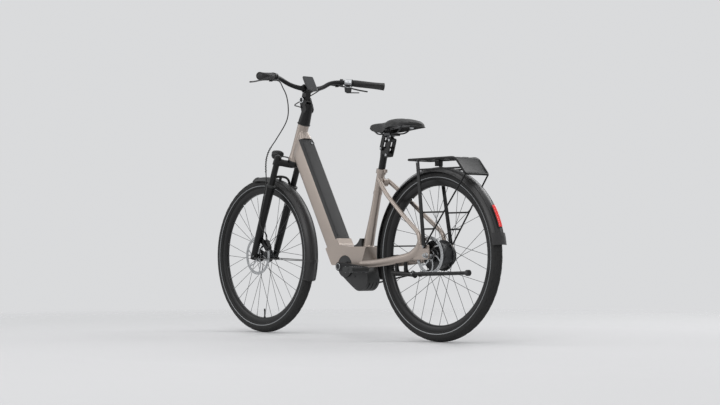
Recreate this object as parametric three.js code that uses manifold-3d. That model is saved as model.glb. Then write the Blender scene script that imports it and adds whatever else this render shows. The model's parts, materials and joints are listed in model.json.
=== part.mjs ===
// A step-through city bike with a battery in its down tube and a motor at its cranks.
// Lengths are millimetres. X points forward, Y to the rider's left and Z up.
// The origin is on the ground, straight below the rear axle.
import * as THREE from "three";
import { mergeVertices } from "three/addons/utils/BufferGeometryUtils.js";
import Module from "manifold-3d";

const wasm = await Module();
wasm.setup();

const degree = Math.PI / 180;
const gap = 0.3; // clearance between neighbouring pieces
const overrun = 6; // how far a cutting tool runs past the face that it cuts
const weld = 0.0001; // vertices closer than this are one
const grain = 0.04; // joined faces may be simplified by this much

// Where the wheels, the steering axis, the cranks and the tubes stand
const wheelRadius = 361;
const wheelbase = 1195;
const headAngle = 68 * degree;
const forkOffset = 45;
const crankReach = 545; // rear axle to crank axle, along the ground
const crankHeight = 313;
const seatAngle = 76 * degree;
const seatTubeSetback = 100; // crank axle back to the seat tube's foot
const seatTubeHeight = 329; // its top above its foot
const downTubeAngle = 60 * degree;
const downTubeFoot = { ahead: 110, above: 102 }; // from the crank axle
const hubWidth = 135; // between the rear dropouts
const beltLine = 52; // side distance of the belt from the middle of the bike

// Wheels
const tyre = { width: 50, tread: 24, strips: 36 };
const rim = { width: 27, seat: 317, wall: 301, inner: 291, crown: 8 };
const spoke = { radius: 1.2, count: 32, rimSide: 2, headSide: 1.9, sides: 3 };
const frontHub = {
  flange: 30, flangeSide: 28, flangeWidth: 6, shell: 20, core: 17, end: 36, boss: 13, sweep: 66 * degree,
  bore: 6.4,
};
const rearHub = {
  flange: 65, flangeSide: 26, flangeWidth: 6, shell: 58, core: 55, rightEnd: 36, leftEnd: 50, boss: 20,
  shoulder: 40, sweep: 60 * degree, bore: 5.3,
};
const rotor = { thickness: 2, track: 14, hub: 25, bore: 9, arms: 6, twist: 24 * degree, armShare: 0.26 };
const rearRotor = { radius: 80, side: 52 };
const frontRotor = { radius: 90, side: 41 };
const rearAxle = { radius: 4.9, reach: 93, shoulder: 9, nut: 10, nutWidth: 12 };

// Mudguards and rear light
const mudguard = { width: 70, drop: 21, thickness: 2.4, crown: 374, slices: 16 };
const frontGuard = { from: 82 * degree, to: 198 * degree, stay: 2, clampAngle: 184 * degree, clamp: 7 };
const rearGuard = { from: -16 * degree, to: 168 * degree, flapThickness: 3, flapWidth: 78, flapLength: 34 };
const tailLight = { width: 19, thickness: 11, low: 114, high: 205, slices: 6 }; // heights above the axle

// Frame tubes
const headTube = { length: 176, seam: 8, radius: 27, foot: 30, bore: 15, cup: 14 };
const steerer = { radius: 14.3 };
const downTube = {
  width: 80, depth: 92, corner: 17, length: 462, headDepth: 124, headShift: 16, taperShare: 0.42, wall: 5,
};
const battery = {
  coverDepth: 13, packDepth: 60, foot: 2, length: 526, headroom: 42, corner: 5, coverCorner: 9, swing: 7,
};
const batteryLock = { radius: 7, depth: 8, below: 20, side: 24, slot: 2, slotLength: 8 };
const seatTube = {
  radius: 18, bore: 16.6, boreDepth: 230, foot: { width: 46, depth: 56, flare: 170, lean: 6 },
  lug: { drop: 28, height: 40, depth: 26, width: 26 }, band: { drop: 104, swell: 2.6, width: 12 },
};
const seatClamp = {
  radius: 23, height: 20, drop: 12, slit: 2.4, lug: 9, lugRoot: 3, lugWidth: 14, lugHeight: 14,
};
const shell = {
  width: 84, wall: 5.7, roof: 7, above: 87, floor: 5, behind: 95, topBehind: 127, ahead: 107, noseAbove: 19,
  arch: 50, archAhead: 15, corner: 8, valley: 17,
};
const motor = {
  width: 71, behind: 75, below: 51, rearRadius: 58, frontRadius: 50, boss: 22, leftBoss: 56, rightBoss: 44,
  coverSide: 41.5, roof: 73, fin: { count: 3, width: 4, depth: 3, pitch: 20 },
};
const footCover = { width: 58, length: 34, rise: 36, toe: 5 };
const stay = {
  side: 70, rearWidth: 16, frontWidth: 15, bendReach: 42, bendAbove: 63, frontBehind: 100, frontAbove: 9,
  frontSide: 49, frontDepth: 32, rearDepth: 38, bendDepth: 21, deepShare: 0.3, runShare: 3.8, splitGap: 0.3,
  seatRadius: 9, seatDrop: 39, seatBehind: 20.7, seatSide: 24, sag: 5, kneeSide: 54, hipSide: 64,
};
const dropout = { thickness: 6, radius: 17, hole: 5.2, eyelet: 7, eyeletReach: 6, eyeletAbove: 37 };

// Fork and front end, stacked along the steering axis from the wheel upwards
const fork = {
  legSide: 64, stanchion: 15, stanchionFoot: 130, legDrop: 16, archAbove: 14, travelRoom: 64,
  crownHeight: 32, crownDepth: 34, capRadius: 17, capHeight: 6, sleeve: 20.5, sleeveLip: 22, lipHeight: 12,
  lipStep: 1, ankle: 17, ankleHeight: 45, toe: 14, toeDrop: 18, bore: 16, boreFoot: 70, axle: 6,
  archAhead: 24, archWidth: 14, archDepth: 12, archInset: 4, raceInset: 2, mountLow: 62, mountHigh: 85,
};
const steererCover = { seam: 4, height: 96, waist: 73, foot: 29, hem: 6, neck: 23, taper: 2 };
const stemPivot = {
  rise: 8, ahead: 30, radius: 15, width: 46, ear: 9, bolt: 5, boltEnd: 2, neckInset: 4, play: 4,
};
const stemArm = { rise: 53.7, reach: 6.2, depth: 28, clamp: 19.5, clampWidth: 44, knuckleInset: 1 };
const bar = {
  radius: 11.1, centreRadius: 15.8, centreWidth: 56, shoulder: 10, straight: 48, bow: 13, rise: 41,
  gripStart: 236, gripBack: 44, gripRise: 37, gripEnd: 360, endBack: 116, endRise: 24,
};
const grip = { radius: 16.5, play: 1.5, wing: 24, flangeWidth: 5 };
const lever = {
  side: 194, clamp: 16.5, clampWidth: 14, pivotAhead: 33, pivotDrop: 12, tank: 10, tankLength: 34,
  tankBack: 6, tankAhead: 5, tankRoot: 8, lift: 4, pin: 8, pinCase: 1, ear: 4, screw: 2.5, screwHead: 2,
  mouth: 2, bladeWidth: 12, bladeThickness: 7, bladeBow: 11, bladeLift: 3, tipBack: 23, tipRise: 6,
  tipSide: 345,
};
const shifter = { side: 219, width: 24, clamp: 15.5, radius: 18, height: 22, drop: 22 };
const shiftLever = { length: 48, width: 10, thickness: 4, boss: 9, turn: 55 * degree };
const display = {
  width: 62, length: 78, thickness: 10, corner: 7, behind: 22, above: 23, tilt: 60 * degree, armWidth: 16,
  backInset: 4, rimInset: 1, screenInset: 5, screenDepth: 1,
};
const headlight = {
  along: 477, ahead: 127, radius: 21, length: 58, rearRadius: 15, hem: 6, lip: 3, lens: 4, lensDepth: 2,
  bracketWidth: 14, bracket: 6,
};
const hose = { radius: 2.6, steps: 30, sides: 5, lead: 18 };
const caliper = {
  length: 58, width: 32, taper: 1, outer: 7.7, inner: 13, slot: 3.2, clearance: 2.5, lug: 7,
};

// Rack, over the rear mudguard
const rack = {
  tube: 5, side: 65, above: 29, front: 120, rear: -165, tailReach: -226, tailDrop: 70, bars: 3,
  strutTop: 62, strutWidth: 20, strutThickness: 5, rod: 3.5, footSide: 79, footReach: 8, guardDrop: 44,
  midShare: 0.39, lowShare: 0.2, foot: 8, footThickness: 6, strapWidth: 26, strapThickness: 4,
  panelThickness: 3,
};

// Drive
const belt = {
  pitch: 11, width: 12, backing: 3.2, tooth: 3, toothWidth: 5, frontTeeth: 50, rearTeeth: 24, tipBelow: 0.6,
};
const pulley = {
  tooth: 3.4, notchShare: 0.5, plate: 5, seam: 1.5, guard: 97, guardThickness: 2, spiderArms: 5,
};
const crank = {
  arm: 175, spindle: 11, boss: 20, eye: 14, thickness: 14, innerSide: 78, capRadius: 13, capHeight: 2,
  tilt: 4 * degree, spindleEnd: 75, socket: 11.7,
};
const pedal = {
  length: 66, width: 94, height: 24, spindle: 4.6, bore: 5, barrel: 11, start: 94, rail: 9, chamfer: 7,
  edge: 2, bars: 2,
};
const rearSprocket = { boss: 17, bore: 5.5, bossStart: 36.6, bossEnd: 60 };

// Seat: the links' feet from the seat tube's top, the rest from the front link's upper pin
const post = { radius: 15.8, depth: 180, top: 74, headHeight: 30 };
const link = {
  front: { behind: 15, above: 97 }, rear: { behind: 50, above: 67 }, lean: 21, rise: 63, radius: 9,
  thickness: 7, side: 14, bolt: 4, boltHead: 3,
};
const seatHead = { behind: 34, below: 5, length: 36, height: 12, lip: 3, edge: 2.5, grooveGap: 1.2 };
const rail = {
  radius: 3.5, side: 24, below: 3, front: 81, lowFront: 25, lowRear: -87, rear: -129, rise: 22,
  clampRun: 22, dip: 9, frontRun: 16, rearRun: 12, nose: 6, noseRun: 8,
};
const saddle = { front: 103, rear: -172, width: 184, top: 60, hem: 4, inset: 15, ringPoints: 16, plate: 3 };

// Kickstand
const kickstand = {
  pivotReach: 78, pivotDrop: 80, side: 68, splay: 26 * degree, leg: 7.5, knuckle: 13, bolt: 4,
  footReach: -255, footDrop: 70, footSide: 78, footRadius: 11, footThickness: 7, bracketFront: 214,
  bracketDepth: 20, bracketLift: 6, lug: 9, lugInset: 4, lugFront: 22, lugRear: 78, lugRise: 30, ribs: 3,
  ribPitch: 8, ribDepth: 3, cap: 9, play: 2,
};

const across = new THREE.Vector3(0, 1, 0);
const up = new THREE.Vector3(0, 0, 1);
const ahead = new THREE.Vector3(1, 0, 0);
const at = (x, y, z) => new THREE.Vector3(x, y, z);

// Mesh helpers: every geometry leaves them closed, with its faces pointing out

function volumeOf(position, index) {
  const [a, b, c] = [at(0, 0, 0), at(0, 0, 0), at(0, 0, 0)];
  let six = 0;
  for (let i = 0; i < index.length; i += 3) {
    a.fromBufferAttribute(position, index[i]);
    b.fromBufferAttribute(position, index[i + 1]);
    c.fromBufferAttribute(position, index[i + 2]);
    six += a.dot(b.cross(c));
  }
  return six / 6;
}

function tidy(geometry) {
  const bare = geometry.clone();
  bare.deleteAttribute("normal");
  bare.deleteAttribute("uv");
  const merged = mergeVertices(bare, weld);
  const index = [];
  for (let i = 0; i < merged.index.count; i += 3) {
    const [a, b, c] = [0, 1, 2].map((k) => merged.index.getX(i + k));
    if (a !== b && b !== c && c !== a) {
      index.push(a, b, c);
    }
  }
  if (volumeOf(merged.attributes.position, index) < 0) {
    index.reverse();
  }
  merged.setIndex(index);
  return merged;
}

function solidOf(geometry) {
  const tidied = tidy(geometry);
  const vertProperties = Float32Array.from(tidied.attributes.position.array);
  const triVerts = Uint32Array.from(tidied.index.array);
  return new wasm.Manifold(new wasm.Mesh({ numProp: 3, vertProperties, triVerts }));
}

function geometryOf(solid) {
  const mesh = solid.getMesh();
  const geometry = new THREE.BufferGeometry();
  geometry.setAttribute("position", new THREE.BufferAttribute(mesh.vertProperties, 3));
  geometry.setIndex(new THREE.BufferAttribute(mesh.triVerts, 1));
  return geometry;
}

function join(...pieces) {
  const whole = pieces.map(solidOf).reduce((sum, piece) => sum.add(piece));
  return geometryOf(whole.simplify(grain));
}

function cut(piece, ...tools) {
  const rest = tools.map(solidOf).reduce((left, tool) => left.subtract(tool), solidOf(piece));
  return geometryOf(rest.simplify(grain));
}

function common(a, b) {
  return geometryOf(solidOf(a).intersect(solidOf(b)));
}

// The other side's copy of a piece
function mirrored(geometry) {
  return tidy(geometry.clone().scale(1, -1, 1));
}

// Outlines

function round(radius, sides, height = radius) {
  return Array.from({ length: sides }, (_, i) => {
    const turn = (i / sides) * 2 * Math.PI;
    return new THREE.Vector2(radius * Math.cos(turn), height * Math.sin(turn));
  });
}

function rounded(width, height, corner, steps = 3) {
  const quarter = Math.PI / 2;
  const points = [];
  [[1, 1], [-1, 1], [-1, -1], [1, -1]].forEach(([sx, sy], turn) => {
    for (let i = 0; i <= steps; i++) {
      const a = (turn + i / steps) * quarter;
      const x = sx * (width / 2 - corner) + corner * Math.cos(a);
      const y = sy * (height / 2 - corner) + corner * Math.sin(a);
      points.push(new THREE.Vector2(x, y));
    }
  });
  return points;
}

// A closed outline through corners, each rounded by its own radius or by the common one
function softShape(corners, radius = 0) {
  const shape = new THREE.Shape();
  corners.forEach(([x, y, own], i) => {
    const here = new THREE.Vector2(x, y);
    const before = new THREE.Vector2(...corners[(i + corners.length - 1) % corners.length].slice(0, 2));
    const after = new THREE.Vector2(...corners[(i + 1) % corners.length].slice(0, 2));
    const r = Math.min(own ?? radius, here.distanceTo(before) / 2, here.distanceTo(after) / 2);
    const start = here.clone().add(before.sub(here).setLength(r));
    const end = here.clone().add(after.sub(here).setLength(r));
    if (i === 0) {
      shape.moveTo(start.x, start.y);
    } else {
      shape.lineTo(start.x, start.y);
    }
    if (r > 0) {
      shape.quadraticCurveTo(here.x, here.y, end.x, end.y);
    }
  });
  shape.closePath();
  return shape;
}

const circlePoints = ([x, y], radius, sides) =>
  round(radius, sides).map((p) => new THREE.Vector2(p.x + x, p.y + y));
const circleShape = (centre, radius, sides) => new THREE.Shape(circlePoints(centre, radius, sides));

// The outline round two circles, wide ends and all
function linkShape(a, ra, b, rb, steps = 8) {
  const along = new THREE.Vector2(b[0] - a[0], b[1] - a[1]);
  const lean = along.angle();
  const open = Math.acos((ra - rb) / along.length());
  const points = [];
  for (let i = 0; i <= steps; i++) {
    const turn = lean + open + (i / steps) * (2 * Math.PI - 2 * open);
    points.push(new THREE.Vector2(a[0] + ra * Math.cos(turn), a[1] + ra * Math.sin(turn)));
  }
  for (let i = 0; i <= steps; i++) {
    const turn = lean - open + (i / steps) * 2 * open;
    points.push(new THREE.Vector2(b[0] + rb * Math.cos(turn), b[1] + rb * Math.sin(turn)));
  }
  return new THREE.Shape(points);
}

// Solids

function loft(rings, loop = false) {
  const n = rings[0].length;
  const index = [];
  const spans = loop ? rings.length : rings.length - 1;
  for (let i = 0; i < spans; i++) {
    const next = ((i + 1) % rings.length) * n;
    for (let j = 0; j < n; j++) {
      const k = (j + 1) % n;
      index.push(i * n + j, i * n + k, next + k, i * n + j, next + k, next + j);
    }
  }
  if (!loop) {
    capOf(rings[0]).forEach(([a, b, c]) => index.push(a, c, b));
    const last = (rings.length - 1) * n;
    capOf(rings.at(-1)).forEach(([a, b, c]) => index.push(last + a, last + b, last + c));
  }
  const geometry = new THREE.BufferGeometry().setFromPoints(rings.flat());
  geometry.setIndex(index);
  return tidy(geometry);
}

// Triangles of a flat ring, wound the way the ring runs
function capOf(ring) {
  const normal = at(0, 0, 0);
  ring.forEach((p, i) => normal.add(p.clone().cross(ring[(i + 1) % ring.length])));
  normal.normalize();
  const u = ring[1].clone().sub(ring[0]).normalize();
  const v = normal.clone().cross(u);
  const flat = ring.map((p) => new THREE.Vector2(p.dot(u), p.dot(v)));
  return THREE.ShapeUtils.triangulateShape(flat, []);
}

// A section carried along a curve, its first axis kept as near to `side` as the curve lets it
function sweep(curve, sectionAt, steps, side = across) {
  const rings = [];
  for (let i = 0; i <= steps; i++) {
    const t = i / steps;
    const point = curve.getPoint(t);
    const tangent = curve.getTangent(t);
    const first = side.clone().addScaledVector(tangent, -side.dot(tangent)).normalize();
    const second = first.clone().cross(tangent);
    const section = typeof sectionAt === "function" ? sectionAt(t) : sectionAt;
    rings.push(section.map((p) => point.clone().addScaledVector(first, p.x).addScaledVector(second, p.y)));
  }
  return loft(rings);
}

const smooth = (points, tension = 0.5) => new THREE.CatmullRomCurve3(points, false, "centripetal", tension);

// A round tube of one radius along a curve
function tube(curve, radius, steps, sides) {
  const shape = new THREE.Shape(round(radius, sides));
  const settings = { steps, bevelEnabled: false, extrudePath: curve };
  return tidy(new THREE.ExtrudeGeometry(shape, settings));
}

function rod(from, to, radius, sides = 12, endRadius = radius) {
  const axis = to.clone().sub(from).normalize();
  const side = Math.abs(axis.dot(across)) > 0.9 ? ahead : across;
  const curve = new THREE.LineCurve3(from, to);
  return sweep(curve, (t) => round(lerp(radius, endRadius, t), sides), 1, side);
}

// A profile of radius and height pairs, turned about an axis; `phase` turns its facets
function revolve(profile, sides, origin, axis, phase = 0) {
  const points = profile.map(([radius, height]) => new THREE.Vector2(radius, height));
  const geometry = new THREE.LatheGeometry(points, sides, phase);
  geometry.applyQuaternion(new THREE.Quaternion().setFromUnitVectors(across, axis));
  geometry.translate(origin.x, origin.y, origin.z);
  return tidy(geometry);
}

function sleeve(origin, axis, outer, inner, length, sides = 20) {
  const profile = [[inner, 0], [outer, 0], [outer, length], [inner, length], [inner, 0]];
  return revolve(profile, sides, origin, axis);
}

// A shape drawn in the bike's side plane and given width across it
function slab(shape, low, high, curveSegments = 4) {
  const settings = { depth: high - low, bevelEnabled: false, curveSegments };
  const geometry = new THREE.ExtrudeGeometry(shape, settings);
  geometry.rotateX(Math.PI / 2);
  geometry.translate(0, high, 0);
  return tidy(geometry);
}

function box(from, to) {
  const size = to.clone().sub(from);
  const middle = from.clone().add(to).multiplyScalar(0.5);
  const geometry = new THREE.BoxGeometry(Math.abs(size.x), Math.abs(size.y), Math.abs(size.z));
  geometry.translate(middle.x, middle.y, middle.z);
  return tidy(geometry);
}

// Directions and places that the pieces share

const { lerp } = THREE.MathUtils;
const rearAxlePoint = at(0, 0, wheelRadius);
const frontAxlePoint = at(wheelbase, 0, wheelRadius);
const crankPoint = at(crankReach, 0, crankHeight);
const steerUp = at(-Math.cos(headAngle), 0, Math.sin(headAngle));
const steerAhead = at(Math.sin(headAngle), 0, Math.cos(headAngle));
const steerBase = frontAxlePoint.clone().addScaledVector(steerAhead, -forkOffset);
const tubeUp = at(Math.cos(downTubeAngle), 0, Math.sin(downTubeAngle));
const tubeOut = at(-Math.sin(downTubeAngle), 0, Math.cos(downTubeAngle));
const tubeFoot = at(crankReach + downTubeFoot.ahead, 0, crankHeight + downTubeFoot.above);

const onSteerer = (along, forward, side) =>
  steerBase
    .clone()
    .addScaledVector(steerUp, along)
    .addScaledVector(steerAhead, forward)
    .addScaledVector(across, side);
const onDownTube = (along, out, side) =>
  tubeFoot.clone().addScaledVector(tubeUp, along).addScaledVector(tubeOut, out).addScaledVector(across, side);

// Heights along the steering axis
const legTop = wheelRadius - fork.legDrop;
const archTop = mudguard.crown + fork.archAbove;
const crownLow = archTop + fork.travelRoom;
const crownHigh = crownLow + fork.crownHeight;
const headLow = crownHigh + headTube.seam;
const headHigh = headLow + headTube.length;
const coverLow = headHigh + steererCover.seam;
const coverHigh = coverLow + steererCover.height;
const pivotAlong = coverHigh + stemPivot.rise;
const barAlong = pivotAlong + stemArm.rise;
const barAhead = stemPivot.ahead + stemArm.reach;

// Edges of the shell round the cranks
const shellTop = crankHeight + shell.above;
const shellFloor = crankHeight + shell.floor;
const shellRear = crankReach - shell.behind;
const shellRearTop = crankReach - shell.topBehind;
const shellFront = crankReach + shell.ahead;
const shellNose = crankHeight + shell.noseAbove;
const shellUpperFace = onDownTube(-gap, downTube.depth / 2, 0);
const shellLowerFace = onDownTube(-gap, -downTube.depth / 2, 0);

// The seat tube's line, from its foot on that shell, and what stands on it
const seatUp = at(-Math.cos(seatAngle), 0, Math.sin(seatAngle));
const seatFootReach = crankReach - seatTubeSetback;
const seatReachAt = (height) => seatFootReach - (height - shellTop) / Math.tan(seatAngle);
const seatTop = at(seatReachAt(shellTop + seatTubeHeight), 0, shellTop + seatTubeHeight);
const onSeatTube = (along) => seatTop.clone().addScaledVector(seatUp, along);
const frontLinkFoot = at(seatTop.x - link.front.behind, 0, seatTop.z + link.front.above);
const rearLinkFoot = at(seatTop.x - link.rear.behind, 0, seatTop.z + link.rear.above);
const linkRise = at(-link.lean, 0, link.rise);
const seatPin = frontLinkFoot.clone().add(linkRise);
const onSeat = (reach, side, height) => seatPin.clone().add(at(reach, side, height));

// Ends of the stays
const bendHeight = wheelRadius + stay.bendAbove;
const stayFront = at(crankReach - stay.frontBehind, stay.frontSide, crankHeight + stay.frontAbove);
const eyeletHeight = wheelRadius + dropout.eyeletAbove;

// Finishes
const finish = (color, roughness, metalness) =>
  new THREE.MeshStandardMaterial({ color, roughness, metalness });
const champagne = finish(0x8c837a, 0.42, 0.6);
const satinGrey = finish(0x2c2d2f, 0.55, 0.3);
const satinBlack = finish(0x141415, 0.5, 0.3);
const plastic = finish(0x17181a, 0.65, 0);
const rubber = finish(0x101010, 0.9, 0);
const steel = finish(0xa9abad, 0.3, 1);
const darkSteel = finish(0x3b3c3e, 0.4, 0.8);
const redLens = finish(0xb01218, 0.25, 0);
const glass = finish(0x0a0b0d, 0.1, 0);

const bike = new THREE.Group();
const steering = new THREE.Group();
const lowers = new THREE.Group();
const frontWheel = new THREE.Group();
const rearWheel = new THREE.Group();
const cranks = new THREE.Group();
steering.add(lowers);
bike.add(steering, frontWheel, rearWheel, cranks);
frontWheel.position.copy(frontAxlePoint);
rearWheel.position.copy(rearAxlePoint);
cranks.position.copy(crankPoint);

function add(name, geometry, material, parent = bike) {
  const mesh = new THREE.Mesh(geometry, material.clone());
  mesh.name = name;
  parent.add(mesh);
}

// Wheels, drawn about their own axle

// A ring whose lowest facet lies flat on the ground
function wheelRing(profile) {
  const widen = 1 / Math.cos(Math.PI / tyre.strips);
  const closed = [...profile, profile[0]].map(([r, y]) => [r * widen, y]);
  return revolve(closed, tyre.strips, at(0, 0, 0), across, Math.PI / tyre.strips);
}

function tyreRing() {
  const half = tyre.width / 2;
  const middle = wheelRadius - half;
  const side = [55, 95].map((a) => [middle + half * Math.cos(a * degree), half * Math.sin(a * degree)]);
  const bead = [rim.seat + gap, rim.width / 2];
  const left = [[wheelRadius, tyre.tread / 2], ...side, bead];
  return wheelRing([...left, ...left.toReversed().map(([r, y]) => [r, -y])]);
}

function rimRing() {
  const left = [
    [rim.seat, rim.width / 2],
    [rim.wall, rim.width / 2],
    [rim.inner, rim.crown / 2],
  ];
  return wheelRing([...left, ...left.toReversed().map(([r, y]) => [r, -y])]);
}

function spokes(hub) {
  const pieces = [];
  for (let i = 0; i < spoke.count; i++) {
    const side = i % 2 ? 1 : -1;
    const lead = Math.floor(i / 2) % 2 ? 1 : -1;
    const out = (i / spoke.count) * 2 * Math.PI;
    const root = out + lead * hub.sweep;
    const inner = hub.flange - 2 * spoke.radius;
    const outer = rim.inner - gap;
    const rootSide = side * (hub.flangeSide + lead * spoke.headSide);
    const from = at(inner * Math.cos(root), rootSide, inner * Math.sin(root));
    const to = at(outer * Math.cos(out), side * spoke.rimSide, outer * Math.sin(out));
    pieces.push(rod(from, to, spoke.radius, spoke.sides));
  }
  return pieces;
}

function frontWheelCore() {
  const flange = frontHub.flangeSide + frontHub.flangeWidth / 2;
  const left = [
    [frontHub.bore, frontHub.end],
    [frontHub.boss, frontHub.end],
    [frontHub.shell, flange],
    [frontHub.flange, flange],
    [frontHub.flange, flange - frontHub.flangeWidth],
    [frontHub.core, flange - 2 * frontHub.flangeWidth],
  ];
  const profile = [...left, ...left.toReversed().map(([r, y]) => [r, -y]), left[0]];
  return join(revolve(profile, 14, at(0, 0, 0), across), ...spokes(frontHub));
}

function rearWheelCore() {
  const { bore, boss, shoulder, shell: wide, core, flange } = rearHub;
  const { leftEnd, rightEnd, flangeSide, flangeWidth } = rearHub;
  const rimEdge = flangeSide + flangeWidth / 2;
  const root = rimEdge - flangeWidth;
  const profile = [
    [bore, -rightEnd],
    [shoulder, -rightEnd],
    [wide, -rimEdge],
    [flange, -rimEdge],
    [flange, -root],
    [core, flangeWidth - root],
    [core, root - flangeWidth],
    [flange, root],
    [flange, rimEdge],
    [wide, rimEdge],
    [shoulder, rightEnd],
    [boss, rightEnd],
    [boss, leftEnd],
    [bore, leftEnd],
    [bore, -rightEnd],
  ];
  return join(revolve(profile, 18, at(0, 0, 0), across), ...spokes(rearHub));
}

// A brake disc: a track carried by slanting arms
function rotorDisc({ radius, side }) {
  const shape = new THREE.Shape(round(radius, 28));
  const pitch = (2 * Math.PI) / rotor.arms;
  const open = pitch * (1 - rotor.armShare);
  const inner = rotor.hub;
  const outer = radius - rotor.track;
  for (let i = 0; i < rotor.arms; i++) {
    const start = i * pitch;
    const near = [0, 1].map((s) => [inner, start + s * open]);
    const far = [1, 0.5, 0].map((s) => [outer, start + rotor.twist + s * open]);
    const points = [...near, ...far].map(([r, a]) => new THREE.Vector2(r * Math.cos(a), r * Math.sin(a)));
    shape.holes.push(new THREE.Path(points));
  }
  shape.holes.push(new THREE.Path(round(rotor.bore, 12)));
  return slab(shape, side - rotor.thickness / 2, side + rotor.thickness / 2);
}

function addWheels() {
  add("front_tyre", tyreRing(), rubber, frontWheel);
  add("front_rim", rimRing(), satinBlack, frontWheel);
  add("front_wheel_core", frontWheelCore(), darkSteel, frontWheel);
  add("front_rotor", rotorDisc(frontRotor), steel, frontWheel);
  add("rear_tyre", tyreRing(), rubber, rearWheel);
  add("rear_rim", rimRing(), satinBlack, rearWheel);
  add("rear_wheel_core", rearWheelCore(), darkSteel, rearWheel);
  add("rear_rotor", rotorDisc(rearRotor), steel, rearWheel);
}

// The rear axle with its shoulders inside the dropouts and its nuts outside
function rearAxleRod() {
  const inside = hubWidth / 2 - gap;
  const outside = hubWidth / 2 + dropout.thickness + gap;
  const left = rearRotor.side + rotor.thickness / 2 + gap;
  const right = rearSprocket.bossEnd + gap;
  const piece = (from, to, radius, sides) =>
    rod(at(0, from, wheelRadius), at(0, to, wheelRadius), radius, sides);
  return join(
    piece(-rearAxle.reach, rearAxle.reach, rearAxle.radius, 8),
    piece(left, inside, rearAxle.shoulder, 10),
    piece(-inside, -right, rearAxle.shoulder, 10),
    piece(outside, outside + rearAxle.nutWidth, rearAxle.nut, 6),
    piece(-outside - rearAxle.nutWidth, -outside, rearAxle.nut, 6),
  );
}

// Frame

function headTubeSolid() {
  const { length, radius, foot, bore, cup } = headTube;
  const profile = [
    [bore, 0],
    [foot, 0],
    [foot, cup],
    [radius, cup * 2],
    [radius, length],
    [bore, length],
    [bore, 0],
  ];
  return revolve(profile, 20, onSteerer(headLow, 0, 0), steerUp);
}

// The down tube, straight up to its shoulder and then drawn in to the head tube
function downTubeBody() {
  const { width, depth, corner, length, taperShare, headDepth, headShift } = downTube;
  const section = (w, d, centre, out) =>
    rounded(w, d, Math.min(corner, w / 3)).map((p) =>
      centre.clone().addScaledVector(across, p.x).addScaledVector(out, p.y),
    );
  const end = onSteerer((headLow + headHigh) / 2 + headShift, 0, 0);
  const shoulder = onDownTube(length, 0, 0);
  const foot = onDownTube(0, 0, 0);
  const rings = [foot, shoulder].map((centre) => section(width, depth, centre, tubeOut));
  for (const t of [0.35, 0.7, 1]) {
    const out = tubeOut.clone().lerp(steerUp, t).normalize();
    const w = lerp(width, width * taperShare, t * t);
    rings.push(section(w, lerp(depth, headDepth, t), shoulder.clone().lerp(end, t), out));
  }
  return loft(rings);
}

function downTubeSolid() {
  const { width, depth, wall } = downTube;
  const top = depth / 2;
  const end = battery.foot + battery.length + gap;
  const recess = onTube(-overrun, end, top - battery.coverDepth - gap, top + overrun, width + overrun);
  const packTop = battery.foot + battery.length - battery.headroom + battery.swing;
  const floor = top - battery.coverDepth - battery.packDepth - gap;
  const channel = onTube(-overrun, packTop, floor, top, width - 2 * wall);
  const seat = (low, high, radius) => rod(onSteerer(low, 0, 0), onSteerer(high, 0, 0), radius + 2 * gap, 20);
  const head = seat(headLow - overrun, headHigh + overrun, headTube.radius);
  const flare = seat(headLow - overrun, headLow + 2 * headTube.cup, headTube.foot);
  return cut(downTubeBody(), recess, channel, head, flare);
}

// A block laid along the down tube, between two heights along it and two depths out of it
function onTube(low, high, inner, outer, width, corner = 0) {
  const section = (along) =>
    [[inner, -1], [outer, -1], [outer, 1], [inner, 1]].map(([out, s]) => {
      return onDownTube(along, out, (s * width) / 2);
    });
  if (!corner) {
    return loft([section(low), section(high)]);
  }
  const middle = (inner + outer) / 2;
  const soft = (along) =>
    rounded(width, outer - inner, corner, 2).map((p) => onDownTube(along, middle + p.y, p.x));
  return loft([soft(low), soft(high)]);
}

// The battery: a pack that fills the channel, under a cover that closes the tube's upper face
function batterySolid() {
  const { width, depth, wall } = downTube;
  const top = depth / 2;
  const { foot, length, headroom, coverDepth, packDepth, corner, coverCorner } = battery;
  const pack = onTube(
    foot,
    foot + length - headroom,
    top - coverDepth - packDepth,
    top - coverDepth / 2,
    width - 2 * wall - 2 * gap,
    corner,
  );
  const under = top - coverDepth;
  const cover = onTube(foot, foot + length, under - coverDepth, top, width, coverCorner);
  const keep = onTube(foot - overrun, foot + length + overrun, under, top + overrun, width + overrun);
  const hole = rod(lockPoint(-batteryLock.depth), lockPoint(overrun), batteryLock.radius + gap, 16);
  return cut(join(pack, common(cover, keep)), hole);
}

function lockPoint(out) {
  const along = battery.foot + battery.length - batteryLock.below;
  return onDownTube(along, downTube.depth / 2 + out, -batteryLock.side);
}

function batteryLockSolid() {
  const { depth, radius, slot, slotLength } = batteryLock;
  const barrel = rod(lockPoint(gap - depth), lockPoint(0), radius, 16);
  const middle = lockPoint(0);
  const points = [[-1, -1], [1, -1], [1, 1], [-1, 1]];
  const key = (out) =>
    points.map(([a, b]) =>
      middle
        .clone()
        .addScaledVector(tubeOut, out)
        .addScaledVector(tubeUp, (a * slotLength) / 2)
        .addScaledVector(across, (b * slot) / 2),
    );
  return cut(barrel, loft([key(-depth / 2), key(overrun)]));
}

// The side outline of the light shell between the down tube, the seat tube and the chainstays
function motorShellOutline() {
  const { corner, valley } = shell;
  return softShape([
    [shellLowerFace.x, shellLowerFace.z, 0],
    [shellUpperFace.x, shellUpperFace.z, 0],
    [shellUpperFace.x - valley, shellTop + corner, corner],
    [(shellUpperFace.x + seatFootReach) / 2, shellTop, 2 * corner],
    [shellRearTop, shellTop, corner / 2],
    [shellRear, shellFloor + overrun, corner / 2],
    [shellRear + 4 * corner, shellFloor, corner],
    [shellFront, shellFloor, 2 * corner],
    [shellFront + corner, shellNose, corner],
  ]);
}

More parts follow.
